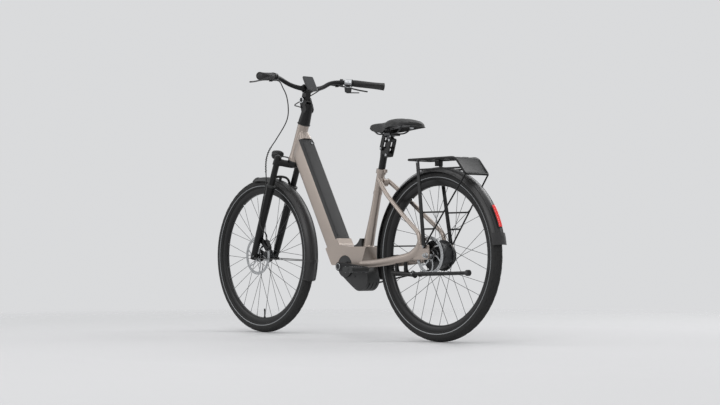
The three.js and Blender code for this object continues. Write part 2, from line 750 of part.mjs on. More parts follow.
function motorShellSolid() {
  const { corner, width, wall, roof, arch, archAhead } = shell;
  const hollow = softShape([
    [shellLowerFace.x - 4 * corner, shellLowerFace.z, corner],
    [shellUpperFace.x + corner, shellTop - roof, corner],
    [shellRearTop + 2 * corner, shellTop - roof, corner],
    [shellRear + corner, shellFloor - overrun, 0],
    [shellFront - corner, shellFloor - overrun, 0],
    [shellFront - corner, shellNose + corner, corner],
  ]);
  const cavity = slab(hollow, wall - width / 2, width / 2 - wall);
  const centre = crankReach + archAhead;
  const archShape = linkShape([centre, crankHeight], arch, [centre, shellFloor - arch], arch, 9);
  return cut(slab(motorShellOutline(), -width / 2, width / 2), cavity, slab(archShape, -width, width));
}

// The motor: a finned drum behind the crank axle, its covers and its two bosses
function motorSolid() {
  const { width, rearRadius, frontRadius, boss, leftBoss, rightBoss, coverSide } = motor;
  const rear = crankReach - motor.behind;
  const rearHeight = crankHeight - motor.below;
  const roof = crankHeight + motor.roof;
  const { corner } = shell;
  const centre = [crankReach + shell.archAhead, crankHeight];
  const drum = linkShape([rear, rearHeight], rearRadius, centre, frontRadius - gap, 8);
  const body = slab(drum, -width / 2, width / 2);
  const cover = slab(circleShape(centre, shell.arch - 4 * gap, 18), -coverSide, coverSide);
  const chin = softShape([
    [rear, shellFloor + corner, 0],
    [shellFront - 3 * corner, shellFloor + corner, 0],
    [shellFront - 3 * corner, roof - 2 * corner, corner],
    [shellUpperFace.x - 2 * corner, roof, corner],
    [rear, roof, corner],
  ]);
  const inside = shell.width / 2 - shell.wall - gap;
  const head = slab(chin, -inside, inside);
  const hub = rod(at(crankReach, -rightBoss, crankHeight), at(crankReach, leftBoss, crankHeight), boss, 18);
  const bore = rod(
    at(crankReach, -leftBoss - overrun, crankHeight),
    at(crankReach, leftBoss + overrun, crankHeight),
    crank.spindle + 2 * gap,
    16,
  );
  return cut(join(body, cover, head, hub), bore, ...finGrooves(rear, rearHeight));
}

// The grooves between the cooling fins under the motor's rear
function finGrooves(reach, height) {
  const { fin, width, rearRadius } = motor;
  const keep = box(
    at(reach - 2 * rearRadius, -width, height - 2 * rearRadius),
    at(reach + rearRadius, width, height - rearRadius / 3),
  );
  return Array.from({ length: fin.count }, (_, i) => {
    const side = (i - (fin.count - 1) / 2) * fin.pitch - fin.width / 2;
    const outer = rearRadius + overrun;
    const ring = sleeve(at(reach, side, height), across, outer, rearRadius - fin.depth, fin.width, 14);
    return common(ring, keep);
  });
}

// The seat tube, round at its top and drawn out forward at its foot
function seatTubeBody(grow = 0) {
  const { radius, foot } = seatTube;
  const flareShares = [0, 0.24, 0.59, 1];
  const spreadShares = [1, 0.72, 0.35, 0.08];
  const stations = flareShares.map((share, i) => [shellTop + gap + share * foot.flare, spreadShares[i]]);
  const rings = [...stations, [seatTop.z, 0]].map(([height, spread], i) => {
    const wide = lerp(radius, foot.width / 2, spread) + grow * gap;
    const deep = lerp(radius, foot.depth / 2, spread) + grow * gap;
    const middle = at(seatReachAt(height) + foot.lean * spread, 0, height);
    const tilt = i === 0 ? ahead : at(Math.sin(seatAngle), 0, Math.cos(seatAngle));
    return round(wide, 14, deep).map((p) =>
      middle.clone().addScaledVector(across, p.x).addScaledVector(tilt, p.y),
    );
  });
  return loft(rings);
}

function seatTubeSolid() {
  const { radius, bore, boreDepth, lug, band } = seatTube;
  const lugTop = seatTop.z - lug.drop;
  const lugBack = seatReachAt(lugTop) - radius - lug.depth;
  const shape = softShape([
    [seatReachAt(lugTop), lugTop, 0],
    [lugBack, lugTop - lug.height / 4, lug.height / 4],
    [lugBack + lug.depth / 4, lugTop - lug.height, lug.height / 4],
    [seatReachAt(lugTop - lug.height), lugTop - lug.height, 0],
  ]);
  const ring = rod(onSeatTube(-band.drop), onSeatTube(band.width - band.drop), radius + band.swell, 12);
  const hole = rod(onSeatTube(-boreDepth), onSeatTube(overrun), bore, 12);
  return cut(join(seatTubeBody(), slab(shape, -lug.width / 2, lug.width / 2), ring), hole);
}

function seatClampSolid() {
  const { radius, height, drop, slit, lug, lugRoot, lugWidth, lugHeight } = seatClamp;
  const inner = seatTube.radius + 3 * gap;
  const neck = post.radius + 2 * gap;
  const profile = [
    [inner, 0],
    [radius, 0],
    [radius, height],
    [neck, height],
    [neck, drop + gap],
    [inner, drop + gap],
    [inner, 0],
  ];
  const ring = revolve(profile, 16, onSeatTube(-drop), seatUp);
  const middle = onSeatTube(gap + height / 2 - drop);
  const ears = box(
    at(middle.x - radius - lug, -lugWidth / 2, middle.z - lugHeight / 2),
    at(middle.x - radius + lugRoot, lugWidth / 2, middle.z + lugHeight / 2),
  );
  const cutSlit = box(
    at(middle.x - 2 * radius - lug, -slit / 2, middle.z - height),
    at(middle.x - inner / 2, slit / 2, middle.z + height),
  );
  return cut(join(ring, ears), cutSlit);
}

// A stay's route from the seat tube down to the bend above the dropout
function seatstaySolid() {
  const s = stay;
  const height = seatTop.z - s.seatDrop;
  const top = at(seatReachAt(height) - s.seatBehind, s.seatSide, height);
  const low = at(s.bendReach + s.bendDepth, s.side, bendHeight + 2 * s.bendDepth);
  const between = (share, side, sag) => {
    const point = top.clone().lerp(low, share);
    return at(point.x, side, point.z - sag);
  };
  const curve = smooth([
    top,
    between(0.15, (s.seatSide + s.kneeSide + s.seatRadius) / 2, s.sag / 2),
    between(0.3, s.kneeSide, s.sag),
    between(0.7, s.hipSide, s.sag),
    low,
    at(s.bendReach, s.side, bendHeight - s.seatRadius),
  ]);
  const body = sweep(curve, round(s.seatRadius, 8, s.bendDepth / 2), 12);
  const below = box(at(0, 0, 0), at(2 * s.bendReach, 2 * s.side, bendHeight + s.splitGap));
  const tool = rod(onSeatTube(-seatTube.boreDepth), onSeatTube(0), seatTube.radius + gap, 20);
  const { lug } = seatTube;
  const clear = box(
    at(0, -lug.width / 2 - gap, seatTop.z - 2 * lug.height),
    at(seatTop.x + seatTube.radius, lug.width / 2 + gap, seatTop.z),
  );
  return cut(body, tool, clear, below);
}

// The chainstay's route from the bend above the dropout to the motor shell
function chainstayRoute() {
  const { bendReach, bendDepth, side, seatRadius, rearWidth, runShare, frontDepth } = stay;
  const lowest = bendHeight - runShare * bendDepth;
  return smooth([
    at(bendReach, side, bendHeight + seatRadius),
    at(bendReach + bendDepth / 2, side, bendHeight - 1.4 * bendDepth),
    at(bendReach + 2.6 * bendDepth, side, bendHeight - 3 * bendDepth),
    at(bendReach + 7 * bendDepth, side - rearWidth / 4, lowest),
    at((bendReach + stayFront.x * 2) / 3, stayFront.y + rearWidth / 2, stayFront.z + frontDepth / 4),
    stayFront,
  ]);
}

// Its depth, small round the bend and greatest behind it
function chainstayDepth(t) {
  const { bendDepth, rearDepth, frontDepth, deepShare } = stay;
  const past = (t - deepShare) / (1 - deepShare);
  return t < deepShare ? lerp(bendDepth, rearDepth, t / deepShare) : lerp(rearDepth, frontDepth, past);
}

// The bend, the chainstay and the dropout plate that stands behind them
function chainstaySolid() {
  const { rearWidth, frontWidth, bendReach, bendDepth, side } = stay;
  const sectionAt = (t) => {
    const wide = lerp(rearWidth, frontWidth, t);
    return rounded(wide, chainstayDepth(t), wide * 0.45, 1);
  };
  const body = sweep(chainstayRoute(), sectionAt, 14);
  const { radius, eyelet, eyeletReach } = dropout;
  const plate = softShape([
    [-radius, wheelRadius + radius, radius],
    [eyeletReach - radius, eyeletHeight + eyelet, eyelet],
    [bendReach, eyeletHeight + eyelet, 0],
    [bendReach + 2 * bendDepth, wheelRadius + radius, 0],
    [bendReach + 2 * bendDepth, wheelRadius - radius, radius],
    [-radius, wheelRadius - radius, radius],
  ]);
  const low = hubWidth / 2;
  const solid = join(body, slab(plate, low, low + dropout.thickness));
  const hole = rod(at(0, 0, wheelRadius), at(0, side * 2, wheelRadius), dropout.hole, 16);
  const shellSide = shell.width / 2 + gap;
  const shellTool = softShape([
    [shellRearTop - gap, shellTop, 0],
    [shellRear - gap, shellFloor - overrun * 4, 0],
    [shellRear * 2, shellFloor - overrun * 4, 0],
    [shellRear * 2, shellTop, 0],
  ]);
  const above = box(at(0, 0, bendHeight), at(3 * bendReach, 2 * side, 2 * bendHeight));
  return cut(solid, hole, slab(shellTool, -shellSide, shellSide), above);
}

// The black boot at the front of the seat tube's foot
function footCoverSolid() {
  const { width, length, rise, toe } = footCover;
  const { lean, depth } = seatTube.foot;
  const tubeFront = seatFootReach + lean + depth / 2;
  const base = shellTop - overrun;
  const shape = new THREE.Shape();
  shape.moveTo(tubeFront - length / 2, base);
  shape.lineTo(tubeFront + length, base);
  shape.lineTo(tubeFront + length, shellTop + toe);
  shape.quadraticCurveTo(tubeFront + length / 4, shellTop + 2 * toe, tubeFront - toe, shellTop + rise);
  shape.lineTo(tubeFront - length / 2, shellTop + rise);
  shape.closePath();
  const seat = slab(motorShellOutline(), -shell.width, shell.width);
  seat.translate(0, 0, gap);
  const tubeSeat = seatTubeBody(2).translate(0, 0, -gap / 3);
  return cut(slab(shape, -width / 2, width / 2, 6), tubeSeat, seat);
}

function addFrame() {
  add("head_tube", headTubeSolid(), champagne);
  add("down_tube", downTubeSolid(), champagne);
  add("battery", batterySolid(), satinGrey);
  add("battery_lock", batteryLockSolid(), satinBlack);
  add("motor_shell", motorShellSolid(), champagne);
  add("motor", motorSolid(), plastic);
  add("seat_tube", seatTubeSolid(), champagne);
  add("foot_cover", footCoverSolid(), plastic);
  const seatstay = seatstaySolid();
  const chainstay = chainstaySolid();
  add("seatstay_left", seatstay, champagne);
  add("seatstay_right", mirrored(seatstay), champagne);
  add("chainstay_left", chainstay, champagne);
  add("chainstay_right", mirrored(chainstay), champagne);
  add("seat_clamp", seatClampSolid(), champagne);
  add("rear_axle", rearAxleRod(), steel);
}

// Brakes, one body that straddles the disc; `centre` lies on the disc's edge

function caliperSolid(axle, { radius, side }, turn) {
  const { length, width, taper, outer, inner, slot, clearance } = caliper;
  const middle = radius - width / 4;
  const place = (r, along) => [
    axle.x + r * Math.cos(turn) - along * Math.sin(turn),
    axle.z + r * Math.sin(turn) + along * Math.cos(turn),
  ];
  const reach = (length - width) / 2;
  const outline = linkShape(place(middle, -reach), width / 2, place(middle, reach), width / 2 - taper);
  const body = slab(outline, side - inner, side + outer);
  const face = (out) => at(axle.x, side + out, axle.z);
  const disc = rod(face(-slot / 2), face(slot / 2), radius + clearance, 36);
  return cut(body, disc);
}

// Fork

// The crown's beam, bowed forward from the steerer to both legs
function crownBeam(grow = 0) {
  const { legSide, crownDepth, crownHeight } = fork;
  const middle = (crownLow + crownHigh) / 2;
  const bow = smooth([
    onSteerer(middle, forkOffset, -legSide),
    onSteerer(middle, forkOffset / 2, -legSide / 2),
    onSteerer(middle, crownDepth / 4, 0),
    onSteerer(middle, forkOffset / 2, legSide / 2),
    onSteerer(middle, forkOffset, legSide),
  ]);
  return sweep(bow, rounded(crownHeight + 2 * grow, crownDepth + 2 * grow, crownDepth / 4, 1), 8, steerUp);
}

// The race that the head tube turns on
function crownRace(grow = 0) {
  const middle = (crownLow + crownHigh) / 2;
  const radius = headTube.foot - fork.raceInset + grow;
  return rod(onSteerer(middle, 0, 0), onSteerer(headLow - gap + grow, 0, 0), radius, 16);
}

const onLeg = (along, s) => onSteerer(along, forkOffset, s * fork.legSide);

// The crown with the steerer above it and the two stanchions below
function forkCrownSolid() {
  const { stanchion, stanchionFoot, capRadius, capHeight } = fork;
  const middle = (crownLow + crownHigh) / 2;
  const top = onSteerer(coverHigh - gap - overrun, 0, 0);
  const tubeRod = rod(onSteerer(middle, 0, 0), top, steerer.radius, 12);
  const legs = [-1, 1].flatMap((s) => [
    rod(onLeg(stanchionFoot, s), onLeg(middle, s), stanchion, 10),
    rod(onLeg(crownLow, s), onLeg(crownHigh + capHeight, s), capRadius + capHeight / 2, 10, capRadius),
  ]);
  return join(crownBeam(), tubeRod, crownRace(), ...legs);
}

// One sliding leg, its axis at the fork's offset
function lowerLeg(s) {
  const { toeDrop, toe, ankle, ankleHeight, sleeve: wide, sleeveLip, lipHeight, lipStep } = fork;
  const stations = [
    [-toeDrop, toe, toe],
    [ankleHeight / 3, ankle, toe],
    [ankleHeight, ankle, ankle],
    [legTop * 0.7, wide, wide],
    [legTop - lipHeight, wide, wide],
    [legTop - lipHeight + lipStep, sleeveLip, sleeveLip],
    [legTop, sleeveLip, sleeveLip],
  ];
  const rings = stations.map(([along, deep, broad]) =>
    round(broad, 10, deep).map((p) => {
      return onLeg(along, s).addScaledVector(across, p.x).addScaledVector(steerAhead, p.y);
    }),
  );
  return loft(rings);
}

// The bridge that ties both sliding legs over the wheel
function forkArch() {
  const { lipHeight, archAhead, archInset, archWidth, archDepth, legSide } = fork;
  const half = [
    [legTop - lipHeight * 2, legSide],
    [legTop + lipHeight, legSide - archInset],
    [archTop - lipHeight / 2, legSide * 0.6],
  ];
  const stations = [...half, [archTop, 0], ...half.toReversed().map(([along, side]) => [along, -side])];
  const line = smooth(stations.map(([along, side]) => onSteerer(along, forkOffset + archAhead, side)));
  return sweep(line, rounded(archWidth, archDepth, archDepth / 3, 1), 10, steerAhead);
}

function forkLowersSolid() {
  const { legSide, toe, toeDrop, ankle, boreFoot, bore, mountLow, mountHigh } = fork;
  const axle = rod(
    at(frontAxlePoint.x, -legSide - toe, wheelRadius),
    at(frontAxlePoint.x, legSide + toe, wheelRadius),
    fork.axle,
    12,
  );
  const bores = [-1, 1].map((s) => rod(onLeg(boreFoot, s), onLeg(legTop + overrun, s), bore, 10));
  const lugAt = (along, forward) => {
    const p = onSteerer(along, forward, 0);
    return [p.x, p.z];
  };
  const side = frontRotor.side + caliper.outer + gap;
  const { lug } = caliper;
  const mountTop = lugAt(mountHigh, forkOffset);
  const mountShape = linkShape(mountTop, lug * 1.6, lugAt(mountLow, -forkOffset / 2), lug, 6);
  const eyelets = [-1, 1].map((s) => {
    const place = (out) => onSteerer(-toeDrop / 3, forkOffset - ankle - frontGuard.stay, s * (legSide + out));
    return rod(place(-toe / 2), place(toe / 2), toe / 2, 8);
  });
  const legs = [-1, 1].map(lowerLeg);
  return cut(join(...legs, forkArch(), axle, slab(mountShape, side, side + lug), ...eyelets), ...bores);
}

// Mudguards: a crowned strip carried round the wheel

function guardSection(r) {
  const { width, drop, thickness } = mudguard;
  const shares = [-1, -0.6, 0, 0.6, 1];
  const arc = (inset) => shares.map((s) => [r - drop * s * s - inset, (s * width) / 2]);
  return [...arc(0), ...arc(thickness).toReversed()];
}

function guardStrip(axle, from, to, section = guardSection(mudguard.crown), slices = mudguard.slices) {
  const rings = [];
  for (let i = 0; i <= slices; i++) {
    const turn = from + (i / slices) * (to - from);
    rings.push(
      section.map(([r, y]) => at(axle.x + r * Math.cos(turn), axle.y + y, axle.z + r * Math.sin(turn))),
    );
  }
  return loft(rings);
}

function polar(axle, radius, turn, side) {
  return at(axle.x + radius * Math.cos(turn), side, axle.z + radius * Math.sin(turn));
}

function frontGuardSolid() {
  const axle = frontAxlePoint;
  const strip = guardStrip(axle, frontGuard.from, frontGuard.to);
  const { clampAngle, clamp, stay: stayRadius } = frontGuard;
  const eye = onSteerer(-fork.toeDrop / 3, forkOffset - fork.ankle - frontGuard.stay, 0);
  const edge = mudguard.crown - mudguard.drop;
  const stays = [-1, 1].flatMap((s) => {
    const side = s * (fork.legSide + fork.toe / 2 + stayRadius + 2 * gap);
    const foot = at(eye.x, side, eye.z);
    const knee = at(eye.x - clamp * 3, side, eye.z);
    const hand = polar(axle, edge, clampAngle, s * (mudguard.width / 2 + stayRadius / 2));
    return [tube(new THREE.QuadraticBezierCurve3(foot, knee, hand), stayRadius, 5, 5)];
  });
  const block = guardStrip(
    axle,
    clampAngle - clamp / edge,
    clampAngle + clamp / edge,
    [
      [mudguard.crown + clamp / 3, -mudguard.width / 6],
      [mudguard.crown + clamp / 3, mudguard.width / 6],
      [edge, mudguard.width / 2 + stayRadius * 1.5],
      [edge - clamp / 2, mudguard.width / 2],
      [mudguard.crown - mudguard.thickness / 2, 0],
      [edge - clamp / 2, -mudguard.width / 2],
      [edge, -mudguard.width / 2 - stayRadius * 1.5],
    ],
    2,
  );
  const archUnder = archTop - fork.archDepth / 2;
  const seat = onSteerer(archUnder - 4 * gap, forkOffset + fork.archAhead, 0);
  const boss = rod(
    onSteerer(mudguard.crown - mudguard.thickness, forkOffset + fork.archAhead, 0),
    seat,
    clamp,
    12,
  );
  return join(strip, block, boss, ...stays);
}

function rearGuardSolid() {
  const strip = guardStrip(rearAxlePoint, rearGuard.from, rearGuard.to, guardSection(mudguard.crown), 24);
  const { flapThickness, flapWidth, flapLength, to } = rearGuard;
  const bend = flapLength / mudguard.crown;
  const flapOut = mudguard.crown + flapThickness / 2;
  const drop = mudguard.drop * 0.8;
  const outer = [-1, -0.5, 0.5, 1].map((s) => [flapOut - drop * s * s, (s * flapWidth) / 2]);
  const section = [...outer, ...outer.toReversed().map(([r, y]) => [r - flapThickness, y])];
  return join(strip, guardStrip(rearAxlePoint, to - bend / 2, to + bend, section, 4));
}

function tailLightSolid() {
  const { width, thickness, low, high, slices } = tailLight;
  const inner = mudguard.crown + gap;
  const turnAt = (height) => Math.PI - Math.asin(height / (inner + thickness / 2));
  const half = width / 2;
  const section = [
    [inner, -half],
    [inner, half],
    [inner + thickness / 2, half],
    [inner + thickness, half / 2],
    [inner + thickness, -half / 2],
    [inner + thickness / 2, -half],
  ];
  return guardStrip(rearAxlePoint, turnAt(high), turnAt(low), section, slices);
}

const deckHeight = wheelRadius + mudguard.crown + rack.above;
const tailHeight = deckHeight - rack.tailDrop;

// Rack: two rails that run back and down to a low bar, on two pairs of struts
function rackSolid() {
  const { front, rear, tailReach, side } = rack;
  const bend = rack.tube * 4;
  const half = [
    at(front, side - bend, deckHeight),
    at(front, side, deckHeight),
    at(rear, side, deckHeight),
    at(tailReach, side, tailHeight),
    at(tailReach, side - bend, tailHeight),
  ];
  const path = bentPath([...half, ...half.toReversed().map((p) => at(p.x, -p.y, p.z))], bend, true);
  return join(sweepLoop(path, rack.tube, 6), ...rackDeck(), ...sideFrame(-1), ...sideFrame(1));
}

// What lies between the rails: the cross bars, the strap, the tab to the mudguard and the tail's panel
function rackDeck() {
  const { front, rear, tailReach, side, bars, tube: thick } = rack;
  const { strapWidth, strapThickness, panelThickness } = rack;
  const barAt = (x) => rod(at(x, -side, deckHeight), at(x, side, deckHeight), thick * 0.8, 4);
  const places = Array.from({ length: bars + 1 }, (_, i) => lerp(front, rear, (i + 1) / (bars + 1)));
  const strap = box(
    at(rear, -strapWidth / 2, deckHeight - strapThickness / 2),
    at(front, strapWidth / 2, deckHeight + strapThickness / 2),
  );
  const tab = box(
    at(-strapWidth / 2, -strapWidth / 2, wheelRadius + mudguard.crown + gap),
    at(strapWidth / 2, strapWidth / 2, deckHeight),
  );
  const edge = (y) => {
    const top = at(rear, y, deckHeight + panelThickness / 2);
    const foot = at(tailReach + thick / 2, y, tailHeight + thick / 2);
    const below = at(0, 0, -panelThickness);
    return [top, top.clone().add(below), foot.clone().add(below), foot];
  };
  const half = side - thick / 4;
  return [...places.map(barAt), strap, tab, loft([edge(-half), edge(half)])];
}

// One side of the rack: a flat front strut, a thin rear one, three rails and the lug on the dropout
function sideFrame(s) {
  const r = rack;
  const foot = at(r.footReach, s * r.footSide, eyeletHeight);
  const frontTop = at(r.strutTop, s * r.side, deckHeight);
  const rearTop = at(r.tailReach, s * r.side, tailHeight);
  const onFront = (share) => foot.clone().lerp(frontTop, share);
  const onRear = (height) => foot.clone().lerp(rearTop, (height - foot.z) / (rearTop.z - foot.z));
  const rail = (share, radius) => {
    const start = onFront(share);
    return rod(start, onRear(start.z), radius, 5);
  };
  const strut = new THREE.LineCurve3(foot, frontTop);
  const section = rounded(r.strutThickness, r.strutWidth, r.strutThickness / 3, 1);
  const guardHeight = deckHeight - r.guardDrop;
  const guardStart = foot.clone().lerp(frontTop, (guardHeight - foot.z) / (deckHeight - foot.z));
  const lugShape = circleShape([foot.x, foot.z], r.foot, 10);
  return [
    sweep(strut, section, 1),
    rod(foot.clone().addScaledVector(ahead, -r.foot / 4), rearTop, r.rod, 5),
    rod(guardStart, at(r.tailReach * 0.9, s * r.side, guardHeight), r.tube * 0.8, 5),
    rail(r.midShare, r.rod),
    rail(r.lowShare, r.rod),
    slab(lugShape, foot.y - r.footThickness / 2, foot.y + r.footThickness / 2),
  ];
}

// Straight runs between corners, each corner rounded
function bentPath(corners, bend, closed) {
  const path = new THREE.CurvePath();
  const n = corners.length;
  const ends = corners.map((p, i) => {
    const before = corners[(i + n - 1) % n];
    const after = corners[(i + 1) % n];
    const r = Math.min(bend, p.distanceTo(before) / 2, p.distanceTo(after) / 2);
    return [
      p.clone().add(before.clone().sub(p).setLength(r)),
      p.clone().add(after.clone().sub(p).setLength(r)),
    ];
  });
  ends.forEach(([start, end], i) => {
    const next = ends[(i + 1) % n][0];
    path.add(new THREE.QuadraticBezierCurve3(start, corners[i], end));
    if ((closed || i < n - 1) && end.distanceTo(next) > 1) {
      path.add(new THREE.LineCurve3(end, next));
    }
  });
  return path;
}

// A tube round a closed path, three rings to a corner and two to a run
function sweepLoop(path, radius, sides) {
  const rings = [];
  path.curves.forEach((piece) => {
    const shares = piece.isQuadraticBezierCurve3 ? [0, 0.5] : [0];
    shares.forEach((t) => {
      const tangent = piece.getTangent(t === 0 ? 0.0001 : t);
      const side = Math.abs(tangent.z) > 0.9 ? across : up;
      const level = side.clone().addScaledVector(tangent, -side.dot(tangent)).normalize();
      const out = level.clone().cross(tangent);
      const point = piece.getPoint(t);
      rings.push(
        round(radius, sides).map((p) => point.clone().addScaledVector(level, p.x).addScaledVector(out, p.y)),
      );
    });
  });
  return loft(rings, true);
}

function addRearEnd() {
  add("rear_mudguard", rearGuardSolid(), satinGrey);
  add("tail_light", tailLightSolid(), redLens);
  add("rack", rackSolid(), satinBlack);
  add("rear_caliper", caliperSolid(rearAxlePoint, rearRotor, 28 * degree), satinBlack);
}

// Drive: a toothed belt between two pulleys

const pitchRadius = (teeth) => (teeth * belt.pitch) / (2 * Math.PI);

// A toothed ring: notches cut evenly into its edge
function toothedShape(teeth) {
  const tip = pitchRadius(teeth) - belt.tipBelow;
  const root = tip - pulley.tooth;
  const step = (2 * Math.PI) / teeth;
  const points = [];
  for (let i = 0; i < teeth; i++) {
    const start = i * step;
    const land = (1 - pulley.notchShare) * step;
    [[tip, 0], [tip, land], [root, (land + step) / 2]].forEach(([r, a]) => {
      points.push(new THREE.Vector2(r * Math.cos(start + a), r * Math.sin(start + a)));
    });
  }
  return new THREE.Shape(points);
}

function frontPulleySolid() {
  const { tooth, plate: thick, seam, guard: guardRadius, guardThickness, spiderArms } = pulley;
  const low = -beltLine - belt.width / 2;
  const shape = toothedShape(belt.frontTeeth);
  const inner = pitchRadius(belt.frontTeeth) - belt.tipBelow - tooth - thick;
  shape.holes.push(new THREE.Path(round(inner, 20)));
  const ring = slab(shape, low, low + belt.width);
  const outerFace = low - gap - guardThickness;
  const plate = slab(spiderShape(inner + seam, inner - thick, spiderArms), outerFace, low + thick);
  const guardShape = new THREE.Shape(round(guardRadius, 28));
  guardShape.holes.push(new THREE.Path(round(inner - seam, 20)));
  const guard = slab(guardShape, outerFace, outerFace + guardThickness);
  return join(ring, plate, guard);
}

// A disc with a window between each pair of arms
function spiderShape(radius, outer, arms) {
  const shape = new THREE.Shape(round(radius, 20));
  const pitch = (2 * Math.PI) / arms;
  for (let i = 0; i < arms; i++) {
    const near = [0.22, 0.78].map((s) => [outer * 0.5, (i + s) * pitch]);
    const far = [0.86, 0.14].map((s) => [outer, (i + s) * pitch]);
    const window = [...near, ...far].map(([r, a]) => new THREE.Vector2(r * Math.cos(a), r * Math.sin(a)));
    shape.holes.push(new THREE.Path(window));
  }
  shape.holes.push(new THREE.Path(round(crank.socket, 16)));
  return shape;
}

function rearSprocketSolid() {
  const half = belt.width / 2;
  const shape = toothedShape(belt.rearTeeth);
  const wheel = slab(shape, -beltLine - half, -beltLine + half);
  const boss = rod(at(0, -rearSprocket.bossEnd, 0), at(0, -rearSprocket.bossStart, 0), rearSprocket.boss, 12);
  const bore = rod(at(0, -2 * beltLine, 0), at(0, 0, 0), rearSprocket.bore, 10);
  const result = cut(join(wheel, boss), bore);
  result.translate(rearAxlePoint.x, rearAxlePoint.y, rearAxlePoint.z);
  return result;
}

// The belt's run round both pulleys, and teeth on its two free spans
function beltSolid() {
  const frontRadius = pitchRadius(belt.frontTeeth);
  const rearRadius = pitchRadius(belt.rearTeeth);
  const between = crankPoint.clone().sub(rearAxlePoint);
  const lean = Math.atan2(between.z, between.x);
  const open = Math.acos((frontRadius - rearRadius) / between.length());
  const arc = (centre, radius, from, to, steps) =>
    Array.from({ length: steps + 1 }, (_, i) => {
      const a = lerp(from, to, i / steps);
      const r = radius / Math.cos((to - from) / steps / 2);
      return new THREE.Vector2(centre.x + r * Math.cos(a), centre.z + r * Math.sin(a));
    });
  const outline = (inset) => [
    ...arc(crankPoint, frontRadius + inset, lean + open - Math.PI, lean + Math.PI - open, 18),
    ...arc(rearAxlePoint, rearRadius + inset, lean + Math.PI - open, lean + Math.PI + open, 10),
  ];
  const inner = gap - belt.tipBelow;
  const shape = new THREE.Shape(outline(inner + belt.backing));
  shape.holes.push(new THREE.Path(outline(inner)));
  const low = -beltLine - belt.width / 2;
  const teeth = [1, -1].flatMap((s) => {
    const turn = lean + Math.PI - s * open;
    const out = new THREE.Vector2(Math.cos(turn), Math.sin(turn));
    const leave = ({ x, z }, radius) => new THREE.Vector2(x, z).addScaledVector(out, radius + inner);
    return beltTeeth(leave(crankPoint, frontRadius), leave(rearAxlePoint, rearRadius), out);
  });
  return join(...[shape, ...teeth].map((outlined) => slab(outlined, low, low + belt.width)));
}

// The teeth under one straight span, evenly pitched and clear of both pulleys
function beltTeeth(start, end, out) {
  const run = end.clone().sub(start);
  const length = run.length();
  run.normalize();
  const count = Math.floor((length - 16 * belt.tooth) / belt.pitch);
  const first = (length - (count - 1) * belt.pitch) / 2;
  const wide = belt.toothWidth / 2;
  return Array.from({ length: count }, (_, i) => {
    const middle = start.clone().addScaledVector(run, first + i * belt.pitch);
    const corner = (a, d) => middle.clone().addScaledVector(run, a).addScaledVector(out, d);
    return new THREE.Shape([
      corner(-wide, belt.backing / 2),
      corner(0, -belt.tooth),
      corner(wide, belt.backing / 2),
    ]);
  });
}

// A crank arm with its pedal's spindle; drawn about the crank axle on the left, pointing back
function crankArm() {
  const c = crank;
  const eye = [-c.arm * Math.cos(c.tilt), -c.arm * Math.sin(c.tilt)];
  const arm = slab(linkShape([0, 0], c.boss, eye, c.eye, 7), c.innerSide, c.innerSide + c.thickness);
  const end = pedal.start + pedal.width - pedal.rail;
  const spindle = rod(at(eye[0], c.innerSide + gap, eye[1]), at(eye[0], end, eye[1]), pedal.spindle, 8);
  const cap = rod(
    at(0, c.innerSide, 0),
    at(0, c.innerSide + c.thickness + c.capHeight, 0),
    c.capRadius,
    14,
  );
  return join(arm, spindle, cap);
}

function crankLeftSolid() {
  const axle = rod(at(0, -crank.spindleEnd, 0), at(0, crank.innerSide + gap, 0), crank.spindle, 14);
  return join(crankArm(), axle);
}

// The right arm turns half way round from the left one and grips the spindle's end
function crankRightSolid() {
  const arm = mirrored(crankArm());
  arm.rotateY(Math.PI);
  const start = beltLine + belt.width / 2 + pulley.guardThickness + 2 * gap;
  const hub = rod(at(0, -crank.innerSide - gap, 0), at(0, -start, 0), crank.boss, 14);
  const socket = rod(at(0, -crank.spindleEnd - 2 * gap, 0), at(0, 0, 0), crank.socket, 14);
  return cut(join(tidy(arm), hub), socket);
}

// A platform pedal about its own spindle, which runs along Y
function pedalSolid() {
  const p = pedal;
  const half = [p.length / 2, p.height / 2];
  const profile = softShape(
    [
      [half[0], -half[1] + p.chamfer],
      [half[0], half[1] - p.chamfer],
      [half[0] - p.chamfer, half[1]],
      [-half[0] + p.chamfer, half[1]],
      [-half[0], half[1] - p.chamfer],
      [-half[0], -half[1] + p.chamfer],
      [-half[0] + p.chamfer, -half[1]],
      [half[0] - p.chamfer, -half[1]],
    ],
    p.edge,
  );
  const body = slab(profile, p.start, p.start + p.width, 1);
  const tools = [];
  const bay = (p.width - p.rail * (p.bars + 1)) / p.bars;
  for (const s of [-1, 1]) {
    for (let i = 0; i < p.bars; i++) {
      const y = p.start + p.rail + i * (bay + p.rail);
      const xs = [s * p.barrel, s * (half[0] - p.rail)].sort((a, b) => a - b);
      tools.push(box(at(xs[0], y, -p.height), at(xs[1], y + bay, p.height)));
    }
  }
  tools.push(rod(at(0, 0, 0), at(0, p.start + p.width - p.rail + gap, 0), p.bore, 16));
  return cut(body, ...tools);
}

function addDrive() {
  add("crank_left", crankLeftSolid(), satinBlack, cranks);
  add("crank_right", crankRightSolid(), satinBlack, cranks);
  add("belt_pulley", frontPulleySolid(), satinBlack, cranks);
  const back = at(-crank.arm * Math.cos(crank.tilt), 0, -crank.arm * Math.sin(crank.tilt));
  const left = pedalSolid();
  left.translate(back.x, 0, back.z);
  const right = mirrored(pedalSolid());
  right.translate(-back.x, 0, -back.z);
  add("pedal_left", left, plastic, cranks);
  add("pedal_right", right, plastic, cranks);
  add("belt", beltSolid(), rubber);
  add("rear_sprocket", rearSprocketSolid(), darkSteel);
}

// Seatpost with a parallelogram of sprung links under the saddle

